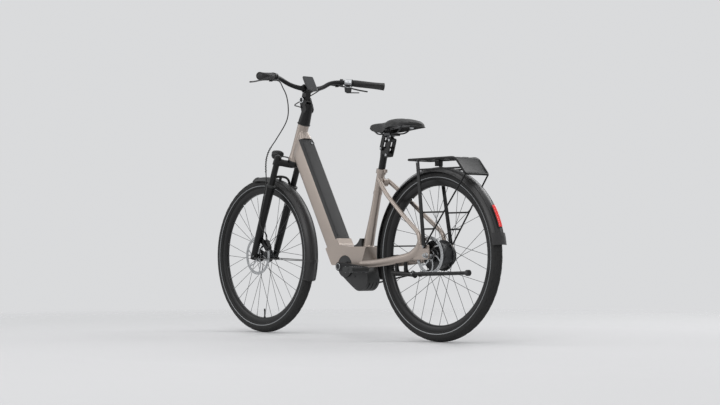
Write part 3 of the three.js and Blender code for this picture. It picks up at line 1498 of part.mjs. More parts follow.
function seatpostSolid() {
  const stem = rod(onSeatTube(-post.depth), onSeatTube(post.top), post.radius, 12);
  const { radius } = link;
  const top = onSeatTube(post.top);
  const low = top.z - post.headHeight / 2;
  const head = softShape(
    [
      [frontLinkFoot.x + radius, frontLinkFoot.z - radius],
      [frontLinkFoot.x + radius, frontLinkFoot.z + radius],
      [frontLinkFoot.x - radius, frontLinkFoot.z + radius],
      [rearLinkFoot.x - radius, rearLinkFoot.z + radius],
      [rearLinkFoot.x - radius, rearLinkFoot.z - radius],
      [top.x - post.radius / 2, low],
      [top.x + post.radius, low],
    ],
    radius,
  );
  return join(stem, betweenLinks(head), linkPin(frontLinkFoot), linkPin(rearLinkFoot));
}

// A plate that fits between the links' two side plates
function betweenLinks(shape) {
  const side = link.side - link.thickness / 2 - gap;
  return slab(shape, -side, side);
}

function linkPin(place) {
  const reach = link.side + link.thickness / 2 + gap + link.boltHead / 2;
  return rod(at(place.x, -reach, place.z), at(place.x, reach, place.z), link.bolt - gap, 8);
}

// A pair of side plates and the bridge between them
function linkSolid(foot, bridgeShare) {
  const { radius, thickness, side, bolt } = link;
  const top = foot.clone().add(linkRise);
  const shape = linkShape([foot.x, foot.z], radius, [top.x, top.z], radius, 5);
  for (const end of [foot, top]) {
    shape.holes.push(new THREE.Path(circlePoints([end.x, end.z], bolt + gap, 8)));
  }
  const low = side - thickness / 2;
  const high = side + thickness / 2;
  const middle = foot.clone().lerp(top, bridgeShare);
  const bridge = rod(at(middle.x, -high, middle.z), at(middle.x, high, middle.z), radius * 0.6, 8);
  return join(slab(shape, low, high), slab(shape, -high, -low), bridge);
}

// The top of the parallelogram with the cradle that grips both rails
function seatHeadSolid() {
  const rear = rearLinkFoot.clone().add(linkRise);
  const { radius } = link;
  const plate = betweenLinks(linkShape([seatPin.x, seatPin.z], radius, [rear.x, rear.z], radius, 6));
  const { behind, below, length, height, lip, edge, grooveGap } = seatHead;
  const ends = [1, -1].map((s) => onSeat(s * length / 2 - behind, 0, -below));
  const shape = softShape(
    [
      [ends[0].x, ends[0].z - height / 2],
      [ends[0].x, ends[0].z + height / 2],
      [ends[1].x, ends[1].z + height / 2],
      [ends[1].x, ends[1].z - height / 2],
    ],
    edge,
  );
  const half = rail.side + rail.radius + lip;
  const grooves = [-1, 1].map((s) => {
    const place = (reach) => onSeat(reach - behind, s * rail.side, -rail.below);
    return rod(place(-length), place(length), rail.radius + grooveGap, 6);
  });
  return cut(join(plate, slab(shape, -half, half), linkPin(seatPin), linkPin(rear)), ...grooves);
}

// The saddle at stations from nose to tail: shares of its length, half width and height
const saddleAlongShares = [0, 0.02, 0.07, 0.16, 0.28, 0.4, 0.52, 0.64, 0.76, 0.87, 0.95, 1];
const saddleWidthShares = [0.07, 0.14, 0.2, 0.23, 0.27, 0.39, 0.62, 0.85, 0.97, 1, 0.88, 0.56];
const saddleTopShares = [0.62, 0.71, 0.77, 0.79, 0.79, 0.82, 0.91, 0.98, 1, 0.95, 0.82, 0.66];
const saddleHemShares = [0.5, 0.39, 0.28, 0.12, 0.03, 0, 0.07, 0.19, 0.28, 0.32, 0.32, 0.37];

const saddleStations = saddleAlongShares.map((share, i) => {
  const hem = lerp(saddle.hem, saddle.top, saddleHemShares[i]);
  const top = lerp(saddle.hem, saddle.top, saddleTopShares[i]);
  return {
    reach: lerp(saddle.front, saddle.rear, share),
    half: (saddle.width / 2) * saddleWidthShares[i],
    hem,
    top,
    under: hem + Math.min(saddle.inset, (top - hem) / 3),
  };
});

function saddleSolid() {
  const rings = saddleStations.map(({ reach, half, hem, top, under }) => {
    const upper = Array.from({ length: saddle.ringPoints + 1 }, (_, k) => {
      const a = (k / saddle.ringPoints) * Math.PI;
      return onSeat(reach, half * Math.cos(a), lerp(hem, top, Math.pow(Math.sin(a), 0.55)));
    });
    const lower = [-0.86, -0.4, 0.4, 0.86].map((s) => onSeat(reach, s * half, under));
    return [...upper, ...lower];
  });
  return loft(rings);
}

// The base plate under the cushion and the two steel rails that it carries
function saddleFrameSolid() {
  const plates = saddleStations.slice(1, -1).map(({ reach, half, under }) => {
    const face = under - 2 * gap;
    const corners = [[0.74, face], [-0.74, face], [-0.66, face - saddle.plate], [0.66, face - saddle.plate]];
    return corners.map(([s, height]) => onSeat(reach, s * half, height));
  });
  const r = rail;
  const rails = [-1, 1].map((s) => {
    const route = smooth([
      onSeat(r.front, s * r.radius * 1.6, r.rise),
      onSeat(r.front - r.frontRun, s * r.side * 0.5, r.rise - r.dip),
      onSeat(r.lowFront, s * r.side, -r.below),
      onSeat(r.lowFront - r.clampRun, s * r.side, -r.below),
      onSeat(r.lowRear + r.clampRun, s * r.side, -r.below),
      onSeat(r.lowRear, s * r.side, -r.below),
      onSeat(r.rear + r.rearRun, s * r.side * 1.2, r.rise - r.dip),
      onSeat(r.rear, s * r.side * 1.2, r.rise + r.dip),
    ]);
    return tube(route, r.radius, 12, 6);
  });
  const nose = box(
    onSeat(r.front - r.noseRun, -r.radius * 3, r.rise - r.nose),
    onSeat(r.front + r.noseRun, r.radius * 3, r.rise + r.nose / 2),
  );
  return join(loft(plates), nose, ...rails);
}

function addSeat() {
  add("seatpost", seatpostSolid(), satinBlack);
  add("post_link_front", linkSolid(frontLinkFoot, 0.5), satinBlack);
  add("post_link_rear", linkSolid(rearLinkFoot, 0.5), satinBlack);
  add("seat_head", seatHeadSolid(), darkSteel);
  add("saddle_frame", saddleFrameSolid(), darkSteel);
  add("saddle", saddleSolid(), satinGrey);
}

// Steering head and cockpit

const barCentre = onSteerer(barAlong, barAhead, 0);
const stemPivotPoint = onSteerer(pivotAlong, stemPivot.ahead, 0);

// A rod across the bike, as far out on the right as on the left
const crossRod = (place, half, radius, sides) =>
  rod(at(place.x, -half, place.z), at(place.x, half, place.z), radius, sides);

// The cone over the steerer and the forked head that the stem's arm tilts in
function stemBaseSolid() {
  const { height, waist, foot, hem, neck, taper } = steererCover;
  const { radius, width, ear, bolt, boltEnd, neckInset, play } = stemPivot;
  const p = stemPivotPoint;
  const profile = [[0, 0], [foot, 0], [foot, hem], [neck, waist], [neck - taper, height], [0, height]];
  const cone = revolve(profile, 14, onSteerer(coverLow, 0, 0), steerUp);
  const root = onSteerer(coverLow + waist - neckInset, 0, 0);
  const headShape = linkShape([root.x, root.z], neck - neckInset, [p.x, p.z], radius, 6);
  const head = slab(headShape, -width / 2, width / 2);
  const bore = rod(
    onSteerer(coverLow - overrun, 0, 0),
    onSteerer(coverHigh + overrun, 0, 0),
    steerer.radius + 2 * gap,
    12,
  );
  const slot = width / 2 - ear;
  const room = linkShape([p.x, p.z], radius + play, [p.x + radius * 2, p.z + radius * 2], radius + play, 5);
  const fork = cut(join(cone, head), bore, slab(room, -slot, slot));
  return join(fork, crossRod(p, width / 2 + boltEnd, bolt, 10));
}

// The stem's tilting arm, from its pivot up to the bar's clamp
function stemArmSolid() {
  const { depth, clamp, clampWidth, knuckleInset } = stemArm;
  const p = stemPivotPoint;
  const half = stemPivot.width / 2 - stemPivot.ear - gap;
  const knuckle = stemPivot.radius - knuckleInset;
  const outline = linkShape([p.x, p.z], knuckle, [barCentre.x, barCentre.z], depth / 2, 6);
  return cut(
    join(slab(outline, -half, half), crossRod(barCentre, clampWidth / 2, clamp, 18)),
    crossRod(barCentre, bar.centreWidth, bar.centreRadius + 2 * gap, 16),
    crossRod(p, stemPivot.width, stemPivot.bolt + 2 * gap, 10),
  );
}

// The bar's route: straight through its clamp, up and out, then straight back along the grip
const outward = (share) => lerp(bar.straight, bar.gripStart, share);
const gripInner = barCentre.clone().add(at(-bar.gripBack, bar.gripStart, bar.gripRise));
const gripOuter = barCentre.clone().add(at(-bar.endBack, bar.gripEnd, bar.endRise));
const barLine = [
  barCentre.clone(),
  barCentre.clone().add(at(0, bar.straight, 0)),
  barCentre.clone().add(at(bar.bow * 0.6, outward(0.3), bar.rise / 3)),
  barCentre.clone().add(at(bar.bow, outward(0.53), bar.rise * 0.9)),
  barCentre.clone().add(at(-bar.gripBack / 5, outward(0.77), bar.rise)),
  gripInner,
  gripInner.clone().lerp(gripOuter, 0.5),
  gripOuter,
];

function handlebarSolid() {
  const points = [...barLine.toReversed(), ...barLine.slice(1).map((p) => at(p.x, -p.y, p.z))];
  const whole = sweep(smooth(points), round(bar.radius, 8), 20, up);
  const { radius, centreRadius, centreWidth, shoulder } = bar;
  const half = [
    [centreRadius, centreWidth / 2],
    [radius, centreWidth / 2 + shoulder],
    [0, centreWidth / 2 + shoulder],
  ];
  const profile = [...half.toReversed().map(([r, y]) => [r, -y]), ...half];
  return join(whole, revolve(profile, 12, barCentre, across));
}

// Where the bar passes a side distance, and which way it runs there
function barAt(side) {
  const line = smooth(barLine);
  const shares = Array.from({ length: 101 }, (_, i) => i / 100);
  const near = shares.reduce((best, t) => {
    const off = Math.abs(line.getPoint(t).y - side);
    return off < best.off ? { off, t } : best;
  }, { off: Infinity, t: 0 });
  return { point: line.getPoint(near.t), axis: line.getTangent(near.t) };
}

const gripAxis = gripOuter.clone().sub(gripInner).normalize();
const onGrip = (along) => gripInner.clone().addScaledVector(gripAxis, along);

// A grip: a sleeve that swells into a palm rest towards its outer end
function gripSolid() {
  const length = gripOuter.distanceTo(gripInner);
  const alongShares = [0, 0.04, 0.3, 0.6, 0.85, 0.96, 1];
  const swellShares = [0.9, 1, 1, 1, 1.05, 1.12, 1.12];
  const wingShares = [0, 0, 0.2, 0.8, 1, 0.6, 0.2];
  const backward = ahead.clone().negate().addScaledVector(gripAxis, gripAxis.x).normalize();
  const level = gripAxis.clone().cross(backward).normalize();
  const rings = alongShares.map((share, i) => {
    const centre = onGrip(share * (length + grip.flangeWidth) + gap);
    return round(grip.radius * swellShares[i], 14).map((p) => {
      const back = Math.max(0, p.x) / grip.radius;
      const stretch = p.x + back * back * wingShares[i] * grip.wing;
      const flat = p.y * (1 - 0.45 * back * wingShares[i]);
      return centre.clone().addScaledVector(backward, stretch).addScaledVector(level, flat);
    });
  });
  return cut(loft(rings), rod(onGrip(-overrun), onGrip(length + gap), bar.radius + grip.play, 10));
}

// The brake's clamp on the bar, its reservoir and the ears that hold the lever
const clampSeat = barAt(lever.side);
const leverPivot = clampSeat.point.clone().add(at(lever.pivotAhead, 0, -lever.pivotDrop));
const fromPivot = (x, y, z) => leverPivot.clone().add(at(x, y, z));
const tankFoot = fromPivot(-lever.tankBack, lever.tankRoot, lever.lift);
const tankHead = fromPivot(lever.tankAhead, -lever.tankLength, lever.lift);

// A rod along the bar through a seat on it, and the bore that clears the bar there
function onBar({ point, axis }, half, radius, sides) {
  const ends = [-half, half].map((along) => point.clone().addScaledVector(axis, along));
  return rod(ends[0], ends[1], radius, sides);
}

const barBore = (seat, width) => onBar(seat, 2 * width, bar.radius + 4 * gap, 12);

function brakeBodySolid() {
  const { clampWidth, clamp, tank, tankRoot, lift, bladeThickness } = lever;
  const { pin, pinCase, ear, mouth, screw, screwHead } = lever;
  const half = bladeThickness / 2;
  const upright = (reach, radius, sides) =>
    rod(fromPivot(0, 0, -reach), fromPivot(0, 0, reach), radius, sides);
  const body = join(
    onBar(clampSeat, clampWidth / 2, clamp, 12),
    rod(tankFoot, tankHead, tank, 10, tank * 0.72),
    rod(clampSeat.point, fromPivot(-tankRoot, 0, lift), tank * 0.8, 8),
    upright(half + ear, pin + pinCase, 8),
  );
  const room = box(
    fromPivot(-pin - mouth, -pin - mouth, -half - gap),
    fromPivot(pin * 3, pin * 5, half + gap),
  );
  return join(cut(body, room, barBore(clampSeat, clampWidth)), upright(half + screwHead, screw, 6));
}

function brakeLeverSolid() {
  const { tipBack, tipRise, tipSide, bladeBow, bladeLift, bladeWidth, bladeThickness } = lever;
  const { pin, pinCase, screw } = lever;
  const half = bladeThickness / 2;
  const tip = barCentre.clone().add(at(-tipBack, tipSide, tipRise));
  const between = (share, bow, lift) => leverPivot.clone().lerp(tip, share).add(at(bow, 0, lift));
  const curve = smooth([
    leverPivot.clone(),
    between(0.18, bladeBow, bladeLift),
    between(0.45, bladeBow, bladeLift),
    between(0.75, bladeBow / 2, 0),
    tip,
  ]);
  const blade = sweep(curve, rounded(bladeWidth, 2 * half, half * 0.9, 1), 10, ahead);
  const eye = rod(fromPivot(0, 0, -half), fromPivot(0, 0, half), pin - pinCase, 8);
  const bore = rod(fromPivot(0, 0, -4 * half), fromPivot(0, 0, 4 * half), screw + 2 * gap, 8);
  const above = box(fromPivot(-pin, -pin, half), fromPivot(pin * 2, pin * 1.6, 4 * half));
  const below = tidy(above.clone().translate(0, 0, -5 * half));
  return cut(join(blade, eye), bore, above, below);
}

// The gear shifter: a sleeve on the bar, a round pod under it and a thumb lever
const leftShiftSeat = barAt(shifter.side);
const acrossBike = (v) => at(v.x, -v.y, v.z);
const shiftSeat = { point: acrossBike(leftShiftSeat.point), axis: acrossBike(leftShiftSeat.axis) };
const podTop = shiftSeat.point.clone().add(at(0, 0, -shifter.drop));

function shifterSolid() {
  const { width, clamp, height, radius } = shifter;
  const pod = rod(podTop, podTop.clone().add(at(0, 0, -height)), radius, 16, radius * 0.85);
  const neck = rod(shiftSeat.point, podTop.clone().add(at(0, 0, -height / 2)), clamp * 0.6, 10);
  return cut(join(onBar(shiftSeat, width / 2, clamp, 14), neck, pod), barBore(shiftSeat, width));
}

function shiftLeverSolid() {
  const high = podTop.z - shifter.height - gap;
  const { length, boss, width, thickness, turn } = shiftLever;
  const end = [podTop.x - length * Math.cos(turn), podTop.y - length * Math.sin(turn)];
  return slabFlat(linkShape([podTop.x, podTop.y], boss, end, width / 2, 5), high - thickness, high);
}

// A shape drawn in the ground plane and given height
function slabFlat(shape, low, high) {
  const settings = { depth: high - low, bevelEnabled: false, curveSegments: 4 };
  const geometry = new THREE.ExtrudeGeometry(shape, settings);
  geometry.translate(0, 0, low);
  return tidy(geometry);
}

// The display over the bar and the arm that ties it to the stem
function displaySolid() {
  const { width, length, thickness, corner, behind, above, tilt, armWidth } = display;
  const down = at(-Math.cos(tilt), 0, -Math.sin(tilt));
  const face = at(-Math.sin(tilt), 0, Math.cos(tilt));
  const centre = barCentre.clone().add(at(-behind, 0, above));
  const ring = (out, inset) =>
    rounded(width - 2 * inset, length - 2 * inset, corner - inset / 2, 3).map((p) =>
      centre.clone().addScaledVector(face, out).addScaledVector(across, p.x).addScaledVector(down, p.y),
    );
  const { backInset, rimInset, screenInset, screenDepth } = display;
  const rings = [ring(-thickness, backInset), ring(-thickness / 2, 0), ring(-rimInset, 0), ring(0, rimInset)];
  const body = loft(rings);
  const screen = loft([ring(-screenDepth, screenInset), ring(overrun, screenInset)]);
  const onBack = (share) => {
    const p = centre.clone().addScaledVector(face, -thickness / 2).addScaledVector(down, share * length);
    return new THREE.Vector2(p.x, p.z);
  };
  const block = new THREE.Shape([
    onBack(0.25),
    new THREE.Vector2(barCentre.x, barCentre.z),
    new THREE.Vector2(barCentre.x + armWidth, barCentre.z + armWidth),
    onBack(-0.16),
  ]);
  const arm = slab(block, -armWidth / 2, armWidth / 2);
  const clamp = crossRod(barCentre, stemArm.clampWidth, stemArm.clamp + 2 * gap, 24);
  return cut(join(body, cut(arm, clamp)), screen);
}

function headlightSolid() {
  const { radius, length, rearRadius, hem, lip, lens, lensDepth, bracket, bracketWidth } = headlight;
  const middle = onSteerer(headlight.along, headlight.ahead, 0);
  const profile = [
    [0, 0],
    [rearRadius * 0.7, 0],
    [rearRadius, hem],
    [radius, length * 0.5],
    [radius, length - lip],
    [radius - lip / 2, length],
    [radius - lens, length - lip],
    [0, length - lensDepth],
  ];
  const lamp = revolve(profile, 16, middle.clone().addScaledVector(ahead, -length / 2), ahead);
  const face = fork.crownDepth * 0.75 + gap + bracket / 2;
  const arm = sweep(
    smooth([
      onSteerer(crownLow + overrun, face, 0),
      onSteerer(crownHigh - overrun, face, 0),
      onSteerer(crownHigh + bracket, face + bracket * 2, 0),
      middle.clone().add(at(-length * 0.2, 0, -rearRadius * 0.6)),
    ]),
    rounded(bracketWidth, bracket, bracket / 3, 1),
    6,
  );
  return cut(join(lamp, arm), crownBeam(gap), crownRace(gap));
}

// Brake hoses, held by the bike all the way

// Both hoses leave the inner end of their reservoir in line with it
function hoseRoot(s) {
  const axis = tankHead.clone().sub(tankFoot).normalize();
  return [2 * gap, hose.lead].map((out) => {
    const p = tankHead.clone().addScaledVector(axis, out);
    return at(p.x, s * p.y, p.z);
  });
}

// A hose's stations: shares of the way up to the bar, out to the lamp and sideways to clear the fork's leg
function hoseRoute(s, stationShares) {
  const beside = fork.legSide + fork.sleeveLip + 3 * hose.radius;
  const stations = stationShares.map(([along, forward, side]) =>
    onSteerer(along * barAlong, forward * headlight.ahead, side * beside),
  );
  return smooth([...hoseRoot(s), ...stations]);
}

// Down behind the lamp, out beside the left leg and in to its caliper
const frontHoseShares = [
  [0.984, 0.6, 1.194],
  [0.927, 0.584, 0.789],
  [0.821, 0.509, 0.533],
  [0.668, 0.988, 0.362],
  [0.607, 1.066, 0.512],
  [0.563, 0.898, 0.789],
  [0.514, 0.634, 0.981],
  [0.438, 0.398, 1.002],
  [0.238, 0.262, 0.991],
  [0.187, 0.144, 0.938],
  [0.159, 0.035, 0.704],
  [0.14, 0.037, 0.533],
  [0.112, 0.07, 0.437],
];

// Across in front of the stem and back to the steerer's cover
const rearHoseShares = [
  [0.976, 0.647, -1.109],
  [0.931, 0.663, -0.533],
  [0.903, 0.607, 0],
  [0.892, 0.458, 0.341],
  [0.896, 0.265, 0.362],
  [0.897, 0.116, 0.299],
];

function addFrontEnd() {
  add("fork_crown", forkCrownSolid(), satinBlack, steering);
  add("stem_base", stemBaseSolid(), satinBlack, steering);
  add("stem_arm", stemArmSolid(), satinBlack, steering);
  add("handlebar", handlebarSolid(), satinBlack, steering);
  const gripLeft = gripSolid();
  add("grip_left", gripLeft, rubber, steering);
  add("grip_right", mirrored(gripLeft), rubber, steering);
  const brake = brakeBodySolid();
  add("brake_body_left", brake, satinBlack, steering);
  add("brake_body_right", mirrored(brake), satinBlack, steering);
  const blade = brakeLeverSolid();
  add("brake_lever_left", blade, satinBlack, steering);
  add("brake_lever_right", mirrored(blade), satinBlack, steering);
  add("shifter", shifterSolid(), plastic, steering);
  add("shift_lever", shiftLeverSolid(), plastic, steering);
  add("display", displaySolid(), glass, steering);
  add("headlight", headlightSolid(), satinBlack, steering);
  const { radius, steps, sides } = hose;
  const frontHose = tube(hoseRoute(1, frontHoseShares), radius, steps, sides);
  const rearHose = tube(hoseRoute(-1, rearHoseShares), radius, steps / 2, sides);
  add("brake_hose_front", frontHose, rubber, steering);
  add("brake_hose_rear", rearHose, rubber, steering);
  add("fork_lowers", forkLowersSolid(), satinBlack, lowers);
  add("front_caliper", caliperSolid(frontAxlePoint, frontRotor, 145 * degree), satinBlack, lowers);
  add("front_mudguard", frontGuardSolid(), satinGrey, lowers);
}

// Kickstand, folded up beside the wheel

const kickPivot = at(kickstand.pivotReach, kickstand.side, wheelRadius - kickstand.pivotDrop);
const kickAxis = at(0, Math.cos(kickstand.splay), Math.sin(kickstand.splay));
const alongKick = (out) => kickPivot.clone().addScaledVector(kickAxis, out);

function kickBracketSolid() {
  const k = kickstand;
  const z = kickPivot.z;
  const stayUnder = bendHeight - stay.runShare * stay.bendDepth - stay.rearDepth / 2;
  const front = at(k.bracketFront, k.side, z + k.bracketLift);
  const arm = rod(front, at(k.pivotReach, k.side - k.cap / 2, z), k.bracketDepth / 2, 10);
  const ribs = Array.from({ length: k.ribs }, (_, i) => {
    const x = k.bracketFront - (2 * i + 1) * k.ribPitch;
    const low = front.z - k.bracketDepth / 2 - k.ribDepth;
    return box(at(x - k.ribPitch, k.side - k.lug, low), at(x, k.side + k.lug, z));
  });
  const posts = [k.lugFront, k.lugRear].map((back) => {
    const foot = at(k.bracketFront - back, k.side - k.lugInset, z);
    return rod(foot, at(foot.x, foot.y, stayUnder + k.lugRise), k.lug, 8);
  });
  const tip = rod(alongKick(-k.cap), kickPivot, k.knuckle, 12);
  const bolt = rod(alongKick(-k.cap / 2), alongKick(2 * k.leg + k.cap / 2), k.bolt, 8);
  const room = rod(kickPivot, alongKick(3 * k.knuckle), k.knuckle + k.play, 14);
  return join(cut(join(arm, ...ribs, ...posts, tip), room, stayTool()), bolt);
}

function kickLegSolid() {
  const k = kickstand;
  const foot = at(k.footReach, k.footSide, wheelRadius - k.footDrop);
  const root = alongKick(gap + k.leg);
  const leg = rod(root, foot, k.leg, 10, k.leg * 0.8);
  const boss = rod(alongKick(gap), alongKick(gap + 2 * k.leg), k.knuckle, 12);
  const bore = rod(alongKick(-k.cap), alongKick(3 * k.knuckle), k.bolt + 2 * gap, 8);
  const along = foot.clone().sub(root).normalize();
  const pad = rod(foot.clone().addScaledVector(along, -k.footThickness), foot, k.footRadius, 12);
  return cut(join(leg, boss, pad), bore);
}

function addKickstand() {
  add("kickstand_bracket", kickBracketSolid(), satinBlack);
  add("kickstand_leg", kickLegSolid(), satinBlack);
}

// The chainstay grown by the clearance, to seat the kickstand's bracket under it
function stayTool() {
  const wide = 6 * stay.rearWidth;
  return sweep(chainstayRoute(), (t) => rounded(wide, chainstayDepth(t) + 2 * gap, 1, 1), 16);
}

addFrame();
addWheels();
addFrontEnd();
addDrive();
addSeat();
addRearEnd();
addKickstand();

export default bike;
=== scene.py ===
# Looks for a step-through electric city bike with a belt drive
import json
import math

import bmesh
import bpy
from mathutils import Matrix, Vector

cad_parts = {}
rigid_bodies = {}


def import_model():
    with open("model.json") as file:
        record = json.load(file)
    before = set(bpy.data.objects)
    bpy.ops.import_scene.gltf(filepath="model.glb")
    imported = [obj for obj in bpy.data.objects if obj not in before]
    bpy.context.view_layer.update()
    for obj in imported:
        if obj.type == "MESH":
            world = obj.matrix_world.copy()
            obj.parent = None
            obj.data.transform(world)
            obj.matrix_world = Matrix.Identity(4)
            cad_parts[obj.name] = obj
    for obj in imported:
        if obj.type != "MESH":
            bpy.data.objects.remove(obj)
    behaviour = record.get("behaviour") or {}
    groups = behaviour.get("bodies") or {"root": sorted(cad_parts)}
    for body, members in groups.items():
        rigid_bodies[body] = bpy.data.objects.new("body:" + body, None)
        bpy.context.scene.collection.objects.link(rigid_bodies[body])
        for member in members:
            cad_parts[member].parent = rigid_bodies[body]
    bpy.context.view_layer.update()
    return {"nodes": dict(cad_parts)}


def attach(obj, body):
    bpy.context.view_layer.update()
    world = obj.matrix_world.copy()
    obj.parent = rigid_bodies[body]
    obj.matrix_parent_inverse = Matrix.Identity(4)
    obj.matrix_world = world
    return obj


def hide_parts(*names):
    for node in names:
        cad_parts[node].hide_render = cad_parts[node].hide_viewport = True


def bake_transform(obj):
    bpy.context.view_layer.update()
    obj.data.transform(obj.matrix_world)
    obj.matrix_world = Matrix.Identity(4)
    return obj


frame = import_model()
print("stage: frame loaded")

acrossBike = Vector((0, 1, 0))
aheadBike = Vector((1, 0, 0))
upWorld = Vector((0, 0, 1))
full = 2 * math.pi

# Camera first, at the photograph's place

camera = {
    "place": Vector((-5.0848, 4.8150, 0.3621)),
    "target": Vector((0.506, 0.0, 0.595)),
    "lens": 83.6,
    "sensor": 36.0,
}
bpy.ops.object.camera_add(location=camera["place"])
eye = bpy.context.object
eye.rotation_euler = (camera["target"] - camera["place"]).to_track_quat("-Z", "Y").to_euler()
eye.data.lens = camera["lens"]
eye.data.sensor_width = camera["sensor"]
eye.data.clip_end = 200
bpy.context.scene.camera = eye
bpy.context.scene.view_settings.view_transform = "Standard"
print("stage: camera")


# Materials: a socket that takes Python's operators, and one method for every node

class Wire:
    def __init__(self, paint, socket):
        self.paint = paint
        self.socket = socket

    def __add__(self, other):
        return self.paint.math("ADD", self, other)

    __radd__ = __add__

    def __sub__(self, other):
        return self.paint.math("SUBTRACT", self, other)

    def __rsub__(self, other):
        return self.paint.math("SUBTRACT", other, self)

    def __mul__(self, other):
        return self.paint.math("MULTIPLY", self, other)

    __rmul__ = __mul__


class Paint:
    def __init__(self, name, color, roughness, metallic=0.0, **fixed):
        self.material = bpy.data.materials.new(name)
        self.material.use_nodes = True
        self.tree = self.material.node_tree
        self.shader = self.tree.nodes["Principled BSDF"]
        self.set("Base Color", color)
        self.set("Roughness", roughness)
        self.set("Metallic", metallic)
        for key, value in fixed.items():
            self.set(key.replace("_", " "), value)

    def put(self, socket, value):
        if isinstance(value, Wire):
            self.tree.links.new(value.socket, socket)
        elif socket.type == "RGBA" and len(value) == 3:
            socket.default_value = (*value, 1)
        else:
            socket.default_value = value

    def set(self, key, value):
        self.put(self.shader.inputs[key], value)

    def node(self, kind, settings=None, feeds=None):
        made = self.tree.nodes.new("ShaderNode" + kind)
        for key, value in (settings or {}).items():
            setattr(made, key, value)
        if isinstance(feeds, dict):
            for key, value in feeds.items():
                found = [s for s in made.inputs if key in (s.identifier, s.name) and s.enabled]
                self.put(found[0], value)
        else:
            for socket, value in zip(made.inputs, feeds or []):
                self.put(socket, value)
        return {s.identifier: Wire(self, s) for s in made.outputs if s.enabled}

    def math(self, operation, *values):
        return self.node("Math", {"operation": operation}, values)["Value"]

    def spot(self, centre=None):
        place = self.node("TexCoord")["Object"]
        if centre is None:
            return place
        return self.node("Mapping", None, {"Vector": place, "Location": [-c for c in centre]})["Vector"]

    def parts(self, centre=None):
        return self.node("SeparateXYZ", None, [self.spot(centre)])

    def noise(self, scale, detail=3.0, rough=0.55):
        feeds = {"Vector": self.spot(), "Scale": scale, "Detail": detail, "Roughness": rough}
        made = self.node("TexNoise", None, feeds)
        return made.get("Fac") or made["Factor"]

    def blend(self, share, low, high):
        feeds = {"Factor_Float": share, "A_Color": low, "B_Color": high}
        return self.node("Mix", {"data_type": "RGBA"}, feeds)["Result_Color"]

    def range(self, value, low, high, toLow, toHigh):
        feeds = {"Value": value, "From Min": low, "From Max": high, "To Min": toLow, "To Max": toHigh}
        return self.node("MapRange", None, feeds)["Result"]

    def tint(self, share, low, high):
        self.set("Base Color", self.blend(share, low, high))

    def rough(self, grain, low, high):
        self.set("Roughness", self.range(grain, 0.3, 0.7, low, high))

    def bump(self, height, depth, strength=1.0):
        feeds = {"Height": height, "Distance": depth, "Strength": strength}
        self.set("Normal", self.node("Bump", None, feeds)["Normal"])


finishes = {
    "champagne": (0.37, 0.315, 0.278),
    "coverGrey": (0.035, 0.035, 0.036),
    "guardGrey": (0.026, 0.0255, 0.0262),
    "black": (0.009, 0.009, 0.0094),
    "darkMetal": (0.045, 0.046, 0.048),
    "steel": (0.42, 0.43, 0.44),
    "plastic": (0.017, 0.0175, 0.018),
    "rubber": (0.0105, 0.0105, 0.0105),
    "red": (0.42, 0.008, 0.012),
}

def shades(color, *factors):
    return [[c * factor for c in color] for factor in factors]


def madeFramePaint():
    color = finishes["champagne"]
    paint = Paint("FramePaint", color, 0.36, 0.65, Coat_Weight=0.35, Coat_Roughness=0.18)
    flake = paint.noise(2600, 1, 0.5)
    tone = paint.blend(paint.noise(5, 2, 0.5), *shades(color, 0.93, 1.05))
    paint.tint(paint.range(flake, 0.62, 0.78, 0, 0.35), tone, (0.62, 0.57, 0.52))
    paint.rough(paint.noise(60), 0.32, 0.41)
    paint.bump(flake, 0.00003)
    return paint


def satin(name, color, rough, metallic, grain, depth):
    paint = Paint(name, color, rough, metallic)
    fine = paint.noise(grain, 4, 0.6)
    paint.tint(paint.noise(14), *shades(color, 0.86, 1.25))
    paint.rough(fine, rough * 0.88, min(1, rough * 1.14))
    paint.bump(fine, depth)
    return paint


def madeSteel(name, color, rough):
    paint = Paint(name, color, rough, 1.0)
    streak = paint.noise(900, 2, 0.5)
    paint.rough(streak, rough * 0.8, rough * 1.25)
    paint.tint(paint.noise(35), *shades(color, 0.85, 1))
    paint.bump(streak, 0.000003)
    return paint


def madeLeather():
    paint = Paint("SaddleCover", finishes["rubber"], 0.55, 0.0)
    pores = paint.node("TexVoronoi", {"feature": "F1"}, {"Vector": paint.spot(), "Scale": 900.0})["Distance"]
    creases = paint.noise(120, 4, 0.6)
    wear = paint.range(paint.noise(9), 0.35, 0.7, 0, 1)
    paint.tint(wear, (0.0085, 0.0085, 0.009), (0.016, 0.0158, 0.0162))
    paint.rough(creases, 0.46, 0.64)
    paint.bump(pores * 0.7 + creases * 0.3, 0.0002)
    return paint


def madeLens():
    paint = Paint("RedLens", finishes["red"], 0.16, 0.0, IOR=1.5, Coat_Weight=0.5, Emission_Strength=0.35)
    # The lens ribs are painted as dark and bright red bands, bright on the crests: painted shade and highlight across
    # the ribs; the glow follows the same bands
    wave = paint.math("SINE", paint.parts()["Z"] * 1400)
    bands = paint.range(wave, -1, 1, 0, 1)
    paint.tint(bands, (0.42, 0.003, 0.006), (0.78, 0.02, 0.015))
    paint.set("Emission Color", paint.blend(bands, (0.45, 0.004, 0.004), (1.0, 0.03, 0.02)))
    paint.bump(wave, 0.0002, 0.5)
    return paint


